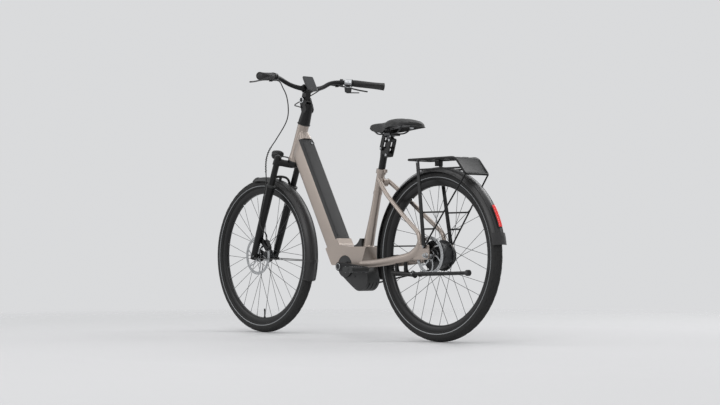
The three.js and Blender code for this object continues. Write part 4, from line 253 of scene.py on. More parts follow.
paints = {
    "frame_paint": madeFramePaint(),
    "battery_cover": satin("BatteryCover", finishes["coverGrey"], 0.5, 0.45, 1500, 0.00004),
    "black_metal": satin("BlackMetal", finishes["black"], 0.38, 0.5, 900, 0.00003),
    "dark_metal": satin("DarkMetal", finishes["darkMetal"], 0.34, 0.85, 700, 0.00002),
    "bright_steel": madeSteel("BrightSteel", finishes["steel"], 0.28),
    "black_plastic": satin("BlackPlastic", finishes["plastic"], 0.52, 0.0, 1100, 0.0001),
    "guard_plastic": satin("GuardPlastic", finishes["guardGrey"], 0.42, 0.15, 1300, 0.00004),
    "red_lens": madeLens(),
    "belt_rubber": satin("BeltRubber", finishes["rubber"], 0.66, 0.0, 800, 0.00008),
    "hose_rubber": satin("HoseRubber", finishes["rubber"], 0.45, 0.0, 900, 0.00004),
    "grip_rubber": satin("GripRubber", finishes["rubber"], 0.72, 0.0, 1500, 0.00015),
    "tyre_rubber": satin("TyreRubber", finishes["rubber"], 0.78, 0.0, 600, 0.00015),
    "rim_paint": satin("RimPaint", finishes["black"], 0.33, 0.4, 800, 0.00002),
    "saddle_cover": madeLeather(),
    "display_glass": satin("DisplayGlass", (0.008, 0.008, 0.010), 0.22, 0.0, 700, 0.00002),
}
print("stage: materials")

cadSlots = {
    "frame_paint": "head_tube down_tube motor_shell seat_tube chainstay_left chainstay_right "
                   "seatstay_left seatstay_right seat_clamp",
    "battery_cover": "battery",
    "black_metal": "seatpost post_link_front post_link_rear stem_base "
                   "stem_arm handlebar brake_body_left brake_body_right brake_lever_left brake_lever_right "
                   "fork_crown fork_lowers front_caliper rear_caliper rack kickstand_bracket kickstand_leg "
                   "crank_left crank_right belt_pulley headlight",
    "dark_metal": "front_wheel_core rear_wheel_core rear_sprocket seat_head saddle_frame",
    "bright_steel": "front_rotor rear_rotor rear_axle battery_lock",
    "black_plastic": "motor foot_cover pedal_left pedal_right shifter shift_lever",
    "guard_plastic": "front_mudguard rear_mudguard",
    "red_lens": "tail_light",
    "belt_rubber": "belt",
    "hose_rubber": "brake_hose_front brake_hose_rear",
    "grip_rubber": "grip_left grip_right",
    "tyre_rubber": "front_tyre rear_tyre",
    "rim_paint": "front_rim rear_rim",
    "saddle_cover": "saddle",
    "display_glass": "display",
}
for slotName, members in cadSlots.items():
    for name in members.split():
        node = frame["nodes"][name]
        node.data.materials.clear()
        node.data.materials.append(paints[slotName].material)

# Modelling helpers, each a few operators done as by hand

mergeGap = 1e-6


def unpick():
    bpy.ops.object.select_all(action="DESELECT")


def take(piece):
    unpick()
    piece.select_set(True)
    bpy.context.view_layer.objects.active = piece


def enter(piece):
    take(piece)
    bpy.ops.object.mode_set(mode="EDIT")


def leave():
    bpy.ops.object.mode_set(mode="OBJECT")


def chooseAll():
    bpy.ops.mesh.select_all(action="SELECT")


def choose(piece, wanted, kind="FACE"):
    if piece.mode != "EDIT":
        enter(piece)
    bpy.ops.mesh.select_mode(type=kind)
    bpy.ops.mesh.select_all(action="DESELECT")
    shape = bmesh.from_edit_mesh(piece.data)
    for part in {"FACE": shape.faces, "EDGE": shape.edges}[kind]:
        if wanted(part):
            part.select_set(True)
    bmesh.update_edit_mesh(piece.data)


def named(piece, name):
    piece.name = piece.data.name = name
    return piece


def primitive(kind, name, **place):
    unpick()
    getattr(bpy.ops.mesh, "primitive_" + kind + "_add")(**place)
    piece = named(bpy.context.object, name)
    bpy.ops.object.transform_apply(location=True, rotation=True, scale=True)
    return piece


def cleaned(piece):
    enter(piece)
    chooseAll()
    bpy.ops.mesh.remove_doubles(threshold=mergeGap)
    bpy.ops.mesh.normals_make_consistent(inside=False)
    leave()
    return piece


def modified(piece, kind, **settings):
    take(piece)
    bpy.ops.object.modifier_add(type=kind)
    modifier = piece.modifiers[-1]
    for key, value in settings.items():
        setattr(modifier, key, value)
    bpy.ops.object.modifier_apply(modifier=modifier.name)
    return piece


def bevelled(piece, width, segments=2):
    return modified(piece, "BEVEL", width=width, segments=segments, limit_method="ANGLE",
                    angle_limit=math.radians(30), use_clamp_overlap=True)


def joined(name, *pieces):
    take(pieces[0])
    for piece in pieces:
        piece.select_set(True)
    if len(pieces) > 1:
        bpy.ops.object.join()
    return named(pieces[0], name)


def pairOf(name, make):
    return joined(name, make(1), make(-1))


def settle(piece, body, slotName, *nodes, angle=35, paint=None):
    take(piece)
    bpy.ops.object.transform_apply(location=True, rotation=True, scale=True)
    bpy.ops.object.shade_smooth_by_angle(angle=math.radians(angle))
    if paint or not piece.data.materials:
        piece.data.materials.clear()
        piece.data.materials.append((paint or paints[slotName]).material)
    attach(piece, body)
    if nodes:
        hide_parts(*nodes)
    return piece


def twinOf(source, name):
    take(source)
    bpy.ops.object.duplicate()
    twin = named(bpy.context.object, name)
    for key in list(twin.keys()):
        del twin[key]
    bpy.ops.object.parent_clear(type="CLEAR_KEEP_TRANSFORM")
    return twin


def softened(node, name, sharp=50):
    piece = twinOf(frame["nodes"][node], name)
    enter(piece)
    chooseAll()
    bpy.ops.mesh.customdata_custom_splitnormals_clear()
    bpy.ops.mesh.remove_doubles(threshold=mergeGap)
    bpy.ops.mesh.tris_convert_to_quads(face_threshold=math.radians(12), shape_threshold=math.radians(60))
    bpy.ops.mesh.select_all(action="DESELECT")
    bpy.ops.mesh.select_mode(type="EDGE")
    bpy.ops.mesh.edges_select_sharp(sharpness=math.radians(sharp))
    bpy.ops.transform.edge_crease(value=1)
    leave()
    return modified(piece, "SUBSURF", levels=2, render_levels=2)


# Shapes that are turned, swept, cut from plate, or set round an axle

def mm(*values):
    metres = [value / 1000 for value in values]
    return list(zip(metres[::2], metres[1::2]))


def onWheel(centre, radius, turn, side=0.0):
    return centre + Vector((radius * math.cos(turn), side, radius * math.sin(turn)))


def laid(name, places, fill="NOTHING"):
    piece = primitive("circle", name, vertices=len(places), radius=1, fill_type=fill)
    enter(piece)
    shape = bmesh.from_edit_mesh(piece.data)
    shape.verts.ensure_lookup_table()
    for corner, place in zip(shape.verts, places):
        corner.co = place
    bmesh.update_edit_mesh(piece.data)
    chooseAll()
    return piece


def turned(name, profile, centre, axis=acrossBike, steps=64, start=0.0, sweep=full):
    axis = Vector(axis).normalized()
    side = acrossBike if abs(axis.y) < 0.7 else aheadBike
    out = (side - axis * side.dot(axis)).normalized()
    out.rotate(Matrix.Rotation(start, 3, axis))
    piece = laid(name, [Vector(centre) + out * radius + axis * along for radius, along in profile])
    closed = abs(sweep - full) < mergeGap
    bpy.ops.mesh.spin(steps=steps, angle=sweep, center=Vector(centre), axis=-axis, use_auto_merge=closed)
    chooseAll()
    bpy.ops.mesh.remove_doubles(threshold=mergeGap)
    if not closed:
        choose(piece, lambda edge: edge.is_boundary, "EDGE")
        bpy.ops.mesh.fill_holes(sides=0)
    leave()
    return cleaned(piece)


def bareCurve(radius, sides):
    unpick()
    bpy.ops.curve.primitive_bezier_curve_add()
    curve = bpy.context.object.data
    curve.dimensions = "3D"
    curve.bevel_depth = radius
    curve.bevel_resolution = max(0, sides // 2 - 2)
    curve.use_fill_caps = True
    return curve


def meshed(name):
    bpy.ops.object.convert(target="MESH")
    return cleaned(named(bpy.context.object, name))


def tubed(name, points, radius, sides=12, bend=8, closed=False):
    curve = bareCurve(radius, sides)
    curve.resolution_u = bend
    spline = curve.splines[0]
    spline.bezier_points.add(len(points) - 2)
    spline.use_cyclic_u = closed
    for knot, place in zip(spline.bezier_points, points):
        knot.co = place
        knot.handle_left_type = knot.handle_right_type = "AUTO"
    return meshed(name)


def roundedPath(corners, bend, closed=False):
    points = []
    count = len(corners)
    for i, corner in enumerate(corners):
        corner = Vector(corner)
        if not closed and i in (0, count - 1):
            points.append(corner)
            continue
        before, after = Vector(corners[i - 1]), Vector(corners[(i + 1) % count])
        reach = min(bend, (corner - before).length / 2.2, (corner - after).length / 2.2)
        start = corner + (before - corner).normalized() * reach
        end = corner + (after - corner).normalized() * reach
        for share in (0, 0.25, 0.5, 0.75, 1):
            points.append((1 - share) ** 2 * start + 2 * share * (1 - share) * corner + share ** 2 * end)
    return points

def bentTube(name, corners, radius, bend, closed=False, sides=16):
    curve = bareCurve(radius, sides)
    points = roundedPath(corners, bend, closed)
    curve.splines.clear()
    spline = curve.splines.new("POLY")
    spline.points.add(len(points) - 1)
    spline.use_cyclic_u = closed
    for knot, place in zip(spline.points, points):
        knot.co = (*place, 1)
    return meshed(name)


def rod(name, start, end, radius, sides=16, endRadius=None):
    start, end = Vector(start), Vector(end)
    run = end - start
    place = {"vertices": sides, "depth": run.length, "location": (start + end) / 2,
             "rotation": run.to_track_quat("Z", "Y").to_euler()}
    if endRadius is None:
        return primitive("cylinder", name, radius=radius, **place)
    return primitive("cone", name, radius1=radius, radius2=endRadius, **place)


def block(name, place, scale):
    return primitive("cube", name, size=1, location=place, scale=scale)


def plate(name, corners, thickness):
    thickness = Vector(thickness)
    piece = laid(name, [Vector(place) - thickness / 2 for place in corners], "NGON")
    bpy.ops.mesh.extrude_region_move(TRANSFORM_OT_translate={"value": thickness})
    leave()
    return cleaned(piece)


def ringOf(piece, count, centre):
    pieces = [piece]
    for i in range(1, count):
        twin = piece.copy()
        twin.data = piece.data.copy()
        turn = Matrix.Rotation(full * i / count, 4, acrossBike)
        twin.data.transform(Matrix.Translation(centre) @ turn @ Matrix.Translation(-centre))
        bpy.context.collection.objects.link(twin)
        pieces.append(twin)
    return pieces


def boltHead(name, seat, out, radius, height, sides=20):
    out = Vector(out).normalized()
    bolt = rod(name, seat, Vector(seat) + out * height, radius, sides, radius * 0.9)
    choose(bolt, lambda face: face.normal.dot(out) > 0.9)
    bpy.ops.mesh.inset(thickness=radius * 0.45)
    bpy.ops.mesh.inset(thickness=radius * 0.04, depth=-height * 0.6)
    leave()
    return bolt


# CAD shapes that only need rounding take over from their facets

softNodes = {
    "frame": "head_tube down_tube motor_shell seat_tube chainstay_left chainstay_right "
             "seat_clamp motor foot_cover kickstand_bracket rear_caliper rear_mudguard",
    "battery_pack": "battery",
    "post": "seatpost",
    "link_front": "post_link_front",
    "link_rear": "post_link_rear",
    "seat": "seat_head saddle_frame",
    "fork": "fork_crown stem_base headlight",
    "cockpit": "stem_arm handlebar brake_body_left brake_body_right shifter display",
    "lever_left": "brake_lever_left",
    "lever_right": "brake_lever_right",
    "gear_lever": "shift_lever",
    "lowers": "fork_lowers front_caliper front_mudguard",
    "cranks": "crank_left crank_right",
    "pedal_l": "pedal_left",
    "pedal_r": "pedal_right",
    "stand": "kickstand_leg",
}
slotOf = {name: slotName for slotName, members in cadSlots.items() for name in members.split()}
for body, members in softNodes.items():
    for node in members.split():
        settle(softened(node, node.title().replace("_", "")), body, slotOf[node], node)
print("stage: rounded shapes")

# Seatstays: straight tubes with one tight bend above the axle plates

seatstay = {
    "radius": 0.0097, "bend": 0.030,
    "route": [(0.352, 0.025, 0.690), (0.3087, 0.0405, 0.6539), (0.2653, 0.0515, 0.6178),
              (0.1497, 0.063, 0.5282), (0.048, 0.070, 0.455), (0.040, 0.070, 0.408)],
}
for side, hand in (("left", 1), ("right", -1)):
    stay = bentTube("Seatstay" + side.title(), [(x, y * hand, z) for x, y, z in seatstay["route"]],
                    seatstay["radius"], seatstay["bend"], sides=28)
    settle(stay, "frame", "frame_paint", "seatstay_" + side, angle=50)

# Weld fillets: a smoothed skin over the frame's tubes, sunk so that only its concave corners show

bay = {
    "foot": Vector((0.655, 0, 0.415)), "up": Vector((0.5, 0, 0.8660254)), "out": Vector((-0.8660254, 0, 0.5)),
    "half": 0.0375, "length": 0.531, "deep": 0.06,
}
welds = {
    "tubes": "HeadTube DownTube MotorShell SeatTube ChainstayLeft ChainstayRight SeatstayLeft SeatstayRight",
    "voxel": 0.0028, "passes": 18, "sink": 0.0005,
    "joints": [((0.955, 0, 0.905), 0.085), ((0.935, 0, 0.86), 0.080), ((0.452, 0, 0.402), 0.048),
               ((0.345, 0, 0.690), 0.042)],
    "tubeFoot": Vector((0.445, 0, 0.400)), "tubeUp": Vector((-0.08203, 0, 0.329)).normalized(),
    "bore": 0.0172, "boreFrom": 0.45,
}


def offWeld(face):
    middle = face.calc_center_median()
    nearJoint = any((middle - Vector(place)).length < reach for place, reach in welds["joints"])
    run = middle - bay["foot"]
    inBay = (abs(middle.y) < bay["half"] and abs(run.dot(bay["out"])) < bay["deep"]
             and run.dot(bay["up"]) < bay["length"])
    post = middle - welds["tubeFoot"]
    fromAxis = (post - welds["tubeUp"] * post.dot(welds["tubeUp"])).length
    inBore = fromAxis < welds["bore"] and middle.z > welds["boreFrom"]
    return inBay or inBore or not nearJoint


copies = [cleaned(twinOf(bpy.data.objects[name], "weldCopy")) for name in welds["tubes"].split()]
skin = joined("WeldFillets", *copies)
modified(skin, "REMESH", mode="VOXEL", voxel_size=welds["voxel"])
modified(skin, "SMOOTH", factor=0.5, iterations=welds["passes"])
choose(skin, lambda face: True)
bpy.ops.transform.shrink_fatten(value=-welds["sink"])
choose(skin, offWeld)
bpy.ops.mesh.delete(type="FACE")
leave()
settle(skin, "frame", "frame_paint", angle=60)
print("stage: welds")


# Wheels: tyre, rim, hub, spokes and brake disc

wheels = {
    "front": {
        "axle": Vector((1.195, 0, 0.361)), "body": "wheel_front", "flange": 0.030, "flangeSide": 0.028,
        "shell": 0.020, "sweep": math.radians(66), "ends": (0.036, 0.036), "neck": 0.014, "bore": 0.0066,
        "discRadius": 0.090, "discSide": 0.041,
    },
    "rear": {
        "axle": Vector((0, 0, 0.361)), "body": "wheel_rear", "flange": 0.065, "flangeSide": 0.026,
        "shell": 0.057, "sweep": math.radians(60), "ends": (0.036, 0.0505), "neck": 0.024, "bore": 0.0056,
        "discRadius": 0.080, "discSide": 0.052,
    },
}
tyre = {
    "middle": 0.3358, "rise": 0.024, "half": 0.0245, "steps": 144, "rows": (9, 13, 31, 35, 53, 57, 72),
    "lug": 0.0012, "lugEdge": 0.0007, "wall": 0.0022,
}
rimShape = mm(
    317.5, 13.5, 317.5, 12.1, 312.5, 11.2, 309.5, 7.5, 308.5, 0, 309.5, -7.5, 312.5, -11.2, 317.5, -12.1,
    317.5, -13.5, 302, -13.5, 296.5, -11, 292.5, -6.5, 291.3, 0, 292.5, 6.5, 296.5, 11, 302, 13.5)
spokeSet = {
    "count": 32, "radius": 0.00105, "headSide": 0.0019, "rimSide": 0.002, "rimRadius": 0.2912,
    "nipple": 0.0135, "flangeIn": 0.0024,
}
disc = {
    "thickness": 0.002, "track": 0.014, "hub": 0.025, "bore": 0.0092, "arms": 6, "twist": math.radians(24),
    "bolts": 0.0215,
}


def tyreSection():
    turns = [math.radians(t) for t in (0, *tyre["rows"], 84, 96, 108, 120, 132, 146)]
    half = [(tyre["middle"] + tyre["rise"] * math.cos(t) * (1 if t < math.pi / 2 else 0.9),
             tyre["half"] * math.sin(t)) for t in turns]
    inner = [(r - tyre["wall"] * math.cos(t), s - tyre["wall"] * math.sin(t)) for (r, s), t in zip(half, turns)]
    outer = [(r, -s) for r, s in half[:0:-1]] + half
    return outer + inner[::-1] + [(r, -s) for r, s in inner[1:]]


def madeTyre(name, spec):
    centre = spec["axle"]
    piece = turned(name, tyreSection(), centre, steps=tyre["steps"])
    pitch = full / tyre["steps"]

    def lug(face):
        middle = face.calc_center_median() - centre
        radius = math.hypot(middle.x, middle.z)
        lean = math.degrees(math.atan2(abs(middle.y) / tyre["half"], (radius - tyre["middle"]) / tyre["rise"]))
        if radius < tyre["middle"] or face.normal.dot(Vector((middle.x, 0, middle.z)).normalized()) < 0.1:
            return False
        step = int(math.atan2(middle.z, middle.x) / pitch + 2 * tyre["steps"])
        band = sum(lean > edge for edge in tyre["rows"])
        return band == 0 or band in (2, 4, 6) and (step + (middle.y > 0) + band) % 3 != 0

    choose(piece, lug)
    bpy.ops.mesh.inset(thickness=tyre["lugEdge"], depth=tyre["lug"], use_individual=True)
    leave()
    return piece


def madeSpokes(spec):
    pieces, nipples = [], []
    for i in range(spokeSet["count"]):
        side = 1 if i % 2 else -1
        lead = 1 if (i // 2) % 2 else -1
        out = full * i / spokeSet["count"]
        start = onWheel(spec["axle"], spec["flange"] - spokeSet["flangeIn"], out + lead * spec["sweep"],
                        side * (spec["flangeSide"] + lead * spokeSet["headSide"]))
        end = onWheel(spec["axle"], spokeSet["rimRadius"], out, side * spokeSet["rimSide"])
        back = end + (start - end).normalized() * spokeSet["nipple"]
        outward = acrossBike * side * lead
        pieces.append(rod("spoke", start, end, spokeSet["radius"], 8))
        pieces.append(rod("spokeHead", start - outward * 0.001, start + outward * 0.0022, 0.0021, 8))
        nipples.append(rod("nipple", end, back, 0.0023, 6, 0.0017))
    return pieces, nipples


def madeHub(name, spec):
    side, flange, shell, neck = spec["flangeSide"], spec["flange"], spec["shell"], spec["neck"]
    inner, outer = side - 0.0032, side + 0.0032

    def half(end):
        return [
            (spec["bore"], end), (neck, end), (neck + 0.001, end - 0.001), (neck + 0.001, outer + 0.003),
            (neck + 0.005, outer), (flange - 0.0008, outer), (flange, outer - 0.0008), (flange, inner + 0.0008),
            (flange - 0.0008, inner), (shell + 0.001, inner), (shell, inner - 0.0015), (shell * 0.97, inner * 0.55),
        ]

    right, left = spec["ends"]
    profile = [(radius, -along) for radius, along in half(right)] + half(left)[::-1]
    return turned(name, profile, spec["axle"], steps=72)


def madeDisc(name, spec):
    centre = spec["axle"] + acrossBike * spec["discSide"]
    outer = spec["discRadius"]
    inner = outer - disc["track"]
    rings = [inner, inner + 0.0024, inner + 0.0052, inner + 0.0066, inner + 0.0094, inner + 0.0108, outer]
    track = primitive("circle", name, vertices=90, radius=inner, location=centre, rotation=(math.pi / 2, 0, 0))
    enter(track)
    chooseAll()
    for near, far in zip(rings, rings[1:]):
        bpy.ops.mesh.extrude_edges_move()
        bpy.ops.transform.resize(value=(far / near, 1, far / near), center_override=centre)

    def hole(face):
        middle = face.calc_center_median() - centre
        step = int(math.atan2(middle.z, middle.x) / full * 90 + 200)
        band = sum(math.hypot(middle.x, middle.z) > ring for ring in rings) - 1
        return (band, step % 3) in ((1, 0), (3, 1))

    choose(track, hole)
    bpy.ops.mesh.delete(type="FACE")
    leave()
    modified(track, "SOLIDIFY", thickness=disc["thickness"], offset=0)
    hub = disc["hub"]
    ring = turned(name + "Ring", [(disc["bore"], -0.001), (hub - 0.0003, -0.001), (hub, -0.0007), (hub, 0.0007),
                                  (hub - 0.0003, 0.001), (disc["bore"], 0.001)], centre, steps=60)
    arms, bolts = [], []
    twist, middle = disc["twist"], (hub + inner) / 2
    for k in range(disc["arms"]):
        start = full * k / disc["arms"]
        corners = [(hub - 0.001, -0.30), (hub - 0.001, 0.02), (middle, twist * 0.45), (inner + 0.001, twist),
                   (inner + 0.001, twist - 0.11), (middle, twist * 0.45 - 0.14)]
        arms.append(plate("discArm", [onWheel(centre, radius, start + turn) for radius, turn in corners],
                          acrossBike * disc["thickness"] * 0.9))
        seat = onWheel(centre, disc["bolts"], start + math.pi / disc["arms"])
        bolt = rod("discBolt", seat, seat + acrossBike * 0.0032, 0.0036, 14, 0.0031)
        choose(bolt, lambda face: face.normal.y > 0.9)
        bpy.ops.mesh.inset(thickness=0.0012)
        bpy.ops.mesh.inset(thickness=0.0002, depth=-0.0014)
        leave()
        bolts.append(bolt)
    return joined(name, track, ring, *arms), bolts


# Light grey ring on each tyre sidewall near the rim: a painted highlight where the sidewall's gloss catches the
# light, drawn as a thin band
sidewallHighlight = Paint("ReflectiveRing", (0.30, 0.31, 0.32), 0.35, 0.2)
sidewallHighlight.rough(sidewallHighlight.noise(500, 2), 0.28, 0.5)
sidewallHighlight.bump(sidewallHighlight.noise(2500, 2), 0.00005)

for which, spec in wheels.items():
    title = which.title()
    body = spec["body"]
    axle = spec["axle"]
    settle(madeTyre(title + "Tyre", spec), body, "tyre_rubber", which + "_tyre", angle=40)
    # Each sidewall gets the thin light grey ring of painted highlight
    for s, side in ((1, "Left"), (-1, "Right")):
        turn = math.radians(111)
        r = tyre["middle"] + tyre["rise"] * math.cos(turn) * 0.9
        edge = s * tyre["half"] * math.sin(turn)
        band = turned(title + "ReflectiveRing" + side,
                      [(r - 0.0013, edge), (r + 0.0013, edge + s * 0.0006), (r + 0.0011, edge + s * 0.0010),
                       (r - 0.0015, edge + s * 0.0004)], axle, steps=120)
        settle(band, body, "tyre_rubber", paint=sidewallHighlight)
    settle(turned(title + "Rim", rimShape, axle, steps=128), body, "rim_paint", which + "_rim", angle=28)
    spokes, nipples = madeSpokes(spec)
    settle(madeHub(title + "Hub", spec), body, "dark_metal", which + "_wheel_core", angle=25)
    settle(joined(title + "Spokes", *spokes), body, "dark_metal", angle=40)
    settle(joined(title + "Nipples", *nipples), body, "bright_steel", angle=40)
    valveFoot = axle + Vector((0, 0, -0.291)) if which == "front" else axle + Vector((0.291, 0, 0))
    inward = (axle - valveFoot).normalized()
    valve = joined(title + "Valve", rod("stem", valveFoot, valveFoot + inward * 0.030, 0.0028, 12),
                   rod("nut", valveFoot, valveFoot + inward * 0.003, 0.0055, 6),
                   rod("cap", valveFoot + inward * 0.028, valveFoot + inward * 0.041, 0.0040, 12, 0.0032))
    settle(valve, body, "rim_paint", angle=30)
    discPiece, bolts = madeDisc(title + "Disc", spec)
    settle(discPiece, body, "bright_steel", which + "_rotor", angle=30)
    settle(joined(title + "DiscBolts", *bolts), body, "bright_steel", angle=30, paint=paints["dark_metal"])
print("stage: wheels")

# Rack: bent tubes, flat front struts, crossed rods and a tail panel

rack = {
    "deck": 0.764, "front": 0.120, "rear": -0.165, "side": 0.065, "tail": (-0.226, 0.694), "tube": 0.005,
    "bend": 0.020, "bars": (0.049, -0.022, -0.094), "strutTop": 0.062, "foot": (0.008, 0.079, 0.398),
    "strutWide": 0.020, "strutThick": 0.005, "rod": 0.0035, "guard": 0.720, "mid": 0.39, "low": 0.20,
    "strap": 0.026, "tabFoot": 0.7355, "panel": 0.003, "eyelet": 0.008, "bolt": 0.0048,
}

def flatStrut(name, start, end, wide, thick):
    start, end = Vector(start), Vector(end)
    run = (end - start).normalized()
    out = acrossBike - run * acrossBike.dot(run)
    out.normalize()
    along = run.cross(out) * wide / 2
    piece = plate(name, [start - along, start + along, end + along * 0.9, end - along * 0.9], out * thick)
    return bevelled(piece, 0.0012, 3)
def rackSide(s):
    r = rack
    foot = Vector((r["foot"][0], s * r["foot"][1], r["foot"][2]))
    frontTop = Vector((r["strutTop"], s * r["side"], r["deck"]))
    rearTop = Vector((r["tail"][0], s * r["side"], r["tail"][1]))

    def atHeight(top, height):
        return foot.lerp(top, (height - foot.z) / (top.z - foot.z))

    pieces = [flatStrut("rackStrut", foot, frontTop, r["strutWide"], r["strutThick"]),
              rod("rackRod", foot - aheadBike * 0.002, rearTop, r["rod"], 14),
              rod("rackGuard", atHeight(frontTop, r["guard"]), (r["tail"][0] * 0.9, s * r["side"], r["guard"]),
                  0.004, 14)]
    for share in (r["mid"], r["low"]):
        start = foot.lerp(frontTop, share)
        end = atHeight(rearTop, start.z)
        pieces.append(rod("rackRail", start, end, r["rod"], 14))
        for place in (start, end):
            pieces.append(primitive("uv_sphere", "rackWeld", segments=12, ring_count=8, radius=0.0042,
                                    location=place))
    eye = r["eyelet"]
    pieces.append(turned("rackLug", [(0.0026, -0.003), (eye - 0.0008, -0.003), (eye, -0.0022), (eye, 0.0022),
                                     (eye - 0.0008, 0.003), (0.0026, 0.003)], foot, steps=32))
    return pieces


def madeRack():
    r = rack
    half = [(r["front"], r["side"] - 0.02, r["deck"]), (r["front"], r["side"], r["deck"]),
            (r["rear"], r["side"], r["deck"]), (r["tail"][0], r["side"], r["tail"][1]),
            (r["tail"][0], r["side"] - 0.02, r["tail"][1])]
    loop = half + [(x, -y, z) for x, y, z in reversed(half)]
    pieces = [bentTube("rackLoop", loop, r["tube"], r["bend"], True)]
    for x in r["bars"]:
        pieces.append(rod("rackBar", (x, -r["side"], r["deck"]), (x, r["side"], r["deck"]), 0.0042, 16))
    strap = block("rackStrap", ((r["front"] + r["rear"]) / 2, 0, r["deck"] + 0.0006),
                  (r["front"] - r["rear"], r["strap"], 0.0036))
    tab = block("rackTab", (0, 0, (r["deck"] + r["tabFoot"]) / 2),
                (r["strap"], r["strap"] * 0.9, r["deck"] - r["tabFoot"]))
    pieces += [bevelled(strap, 0.0012), bevelled(tab, 0.0015)]
    return joined("Rack", *pieces, *rackSide(1), *rackSide(-1))


settle(madeRack(), "frame", "black_metal", "rack", angle=32)
top = Vector((rack["rear"] - 0.002, 0, rack["deck"]))
foot = Vector((rack["tail"][0] + 0.004, 0, rack["tail"][1] + 0.003))
across = acrossBike * (rack["side"] - 0.002)
panelOut = (foot - top).cross(acrossBike).normalized()
panelOut = panelOut if panelOut.z > 0 else -panelOut
panel = plate("RackPanel", [top - across, top + across, foot + across, foot - across], panelOut * rack["panel"])
choose(panel, lambda face: face.normal.dot(panelOut) > 0.9)
bpy.ops.mesh.inset(thickness=0.006)
bpy.ops.mesh.inset(thickness=0.001, depth=-0.0008)
leave()
settle(bevelled(panel, 0.0007), "frame", "black_metal", paint=paints["black_plastic"])
rackBolts = []
for s in (1, -1):
    seat = Vector((rack["foot"][0], s * (rack["foot"][1] + 0.003), rack["foot"][2]))
    rackBolts.append(boltHead("rackBolt", seat, acrossBike * s, rack["bolt"], 0.0035))
    strutTop = Vector((rack["strutTop"], s * (rack["side"] + 0.002), rack["deck"] - 0.012))
    rackBolts.append(boltHead("rackBolt", strutTop, acrossBike * s, 0.004, 0.0025))
for x in (-0.007, 0.007):
    rackBolts.append(boltHead("rackBolt", (x, 0, rack["deck"] + 0.0024), upWorld, 0.0038, 0.0022))
settle(joined("RackBolts", *rackBolts), "frame", "bright_steel")
print("stage: rack")

# Mudguards: rolled edges, a middle crease, the rear flap's lip and the tail light

guards = {
    "front": {"axle": wheels["front"]["axle"], "body": "lowers", "from": math.radians(82), "to": math.radians(198)},
    "rear": {"axle": wheels["rear"]["axle"], "body": "frame", "from": math.radians(-16), "to": math.radians(168)},
}
guard = {"crown": 0.374, "width": 0.070, "drop": 0.021, "bead": 0.0017, "rib": 0.0007}

for which, spec in guards.items():
    title = which.title()
    trims = []

    def along(radius, side):
        run = spec["to"] - spec["from"]
        return [onWheel(spec["axle"], radius, spec["from"] + run * k / 40, side) for k in range(41)]

    for half in (guard["width"] / 2, -guard["width"] / 2):
        edge, crease = guard["crown"] - guard["drop"] - 0.001, guard["crown"] - guard["drop"] * 0.36
        trims.append(tubed("guardBead", along(edge, half), guard["bead"], 10, 3))
        trims.append(tubed("guardRib", along(crease, half * 0.6), guard["rib"] * 1.6, 8, 3))
    for turn in (spec["from"], spec["to"]):
        lip = [onWheel(spec["axle"], guard["crown"] - 0.0012 - guard["drop"] * s * s, turn, s * guard["width"] / 2)
               for s in [k / 10 for k in range(-10, 11)]]
        if which == "front" or turn == spec["from"]:
            trims.append(tubed("guardLip", lip, guard["bead"] * 1.25, 10, 3))
    settle(joined(title + "GuardTrim", *trims), spec["body"], "guard_plastic")

lamp = {"inner": 0.3742, "half": 0.0094, "thick": 0.0108, "low": 0.114, "high": 0.205}
turns = [math.pi - math.asin(h / (lamp["inner"] + lamp["thick"] / 2)) for h in (lamp["high"], lamp["low"])]
rearAxle = wheels["rear"]["axle"]
inner, half = lamp["inner"], lamp["half"]
lensSide = [(inner + 0.0018, half - 0.0016), (inner + 0.0062, half - 0.0016), (inner + 0.0094, half * 0.62),
            (inner + 0.0106, half * 0.22)]
lensPoints = [(r, -s) for r, s in lensSide[:1]] + lensSide + [(r, -s) for r, s in reversed(lensSide[1:])]
lens = turned("TailLens", lensPoints, rearAxle, -acrossBike, 24, turns[0] + 0.006, turns[1] - turns[0] - 0.012)
settle(bevelled(lens, 0.0008), "frame", "red_lens", "tail_light", angle=30)
tray = turned("TailTray", [(inner, -half), (inner, half), (inner + 0.0042, half), (inner + 0.0042, -half)],
              rearAxle, -acrossBike, 24, turns[0], turns[1] - turns[0])
settle(bevelled(tray, 0.0009), "frame", "guard_plastic", angle=30, paint=paints["black_plastic"])
print("stage: mudguards")

# Saddle: a cushion blown up by cloth pressure, its channel, piping and stitches

saddle = {
    "pin": Vector((0.32697, 0, 0.889)), "front": 0.103, "rear": -0.172, "half": 0.092, "top": 0.060, "hem": 0.004,
    "pressure": 4.0, "cap": 0.005, "frames": 20, "channel": 0.0030,
    "channelHalf": 0.011, "seamShare": 0.70, "stitch": 0.0042,
}
alongShares = [0, 0.02, 0.07, 0.16, 0.28, 0.4, 0.52, 0.64, 0.76, 0.87, 0.95, 1]
widthShares = [0.07, 0.14, 0.2, 0.23, 0.27, 0.39, 0.62, 0.85, 0.97, 1, 0.88, 0.56]
hemShares = [0.5, 0.39, 0.28, 0.12, 0.03, 0, 0.07, 0.19, 0.28, 0.32, 0.32, 0.37]


def between(shares, place):
    for (a, x), (b, y) in zip(zip(alongShares, shares), list(zip(alongShares, shares))[1:]):
        if a <= place <= b:
            return x + (y - x) * (place - a) / (b - a)
    return shares[-1]


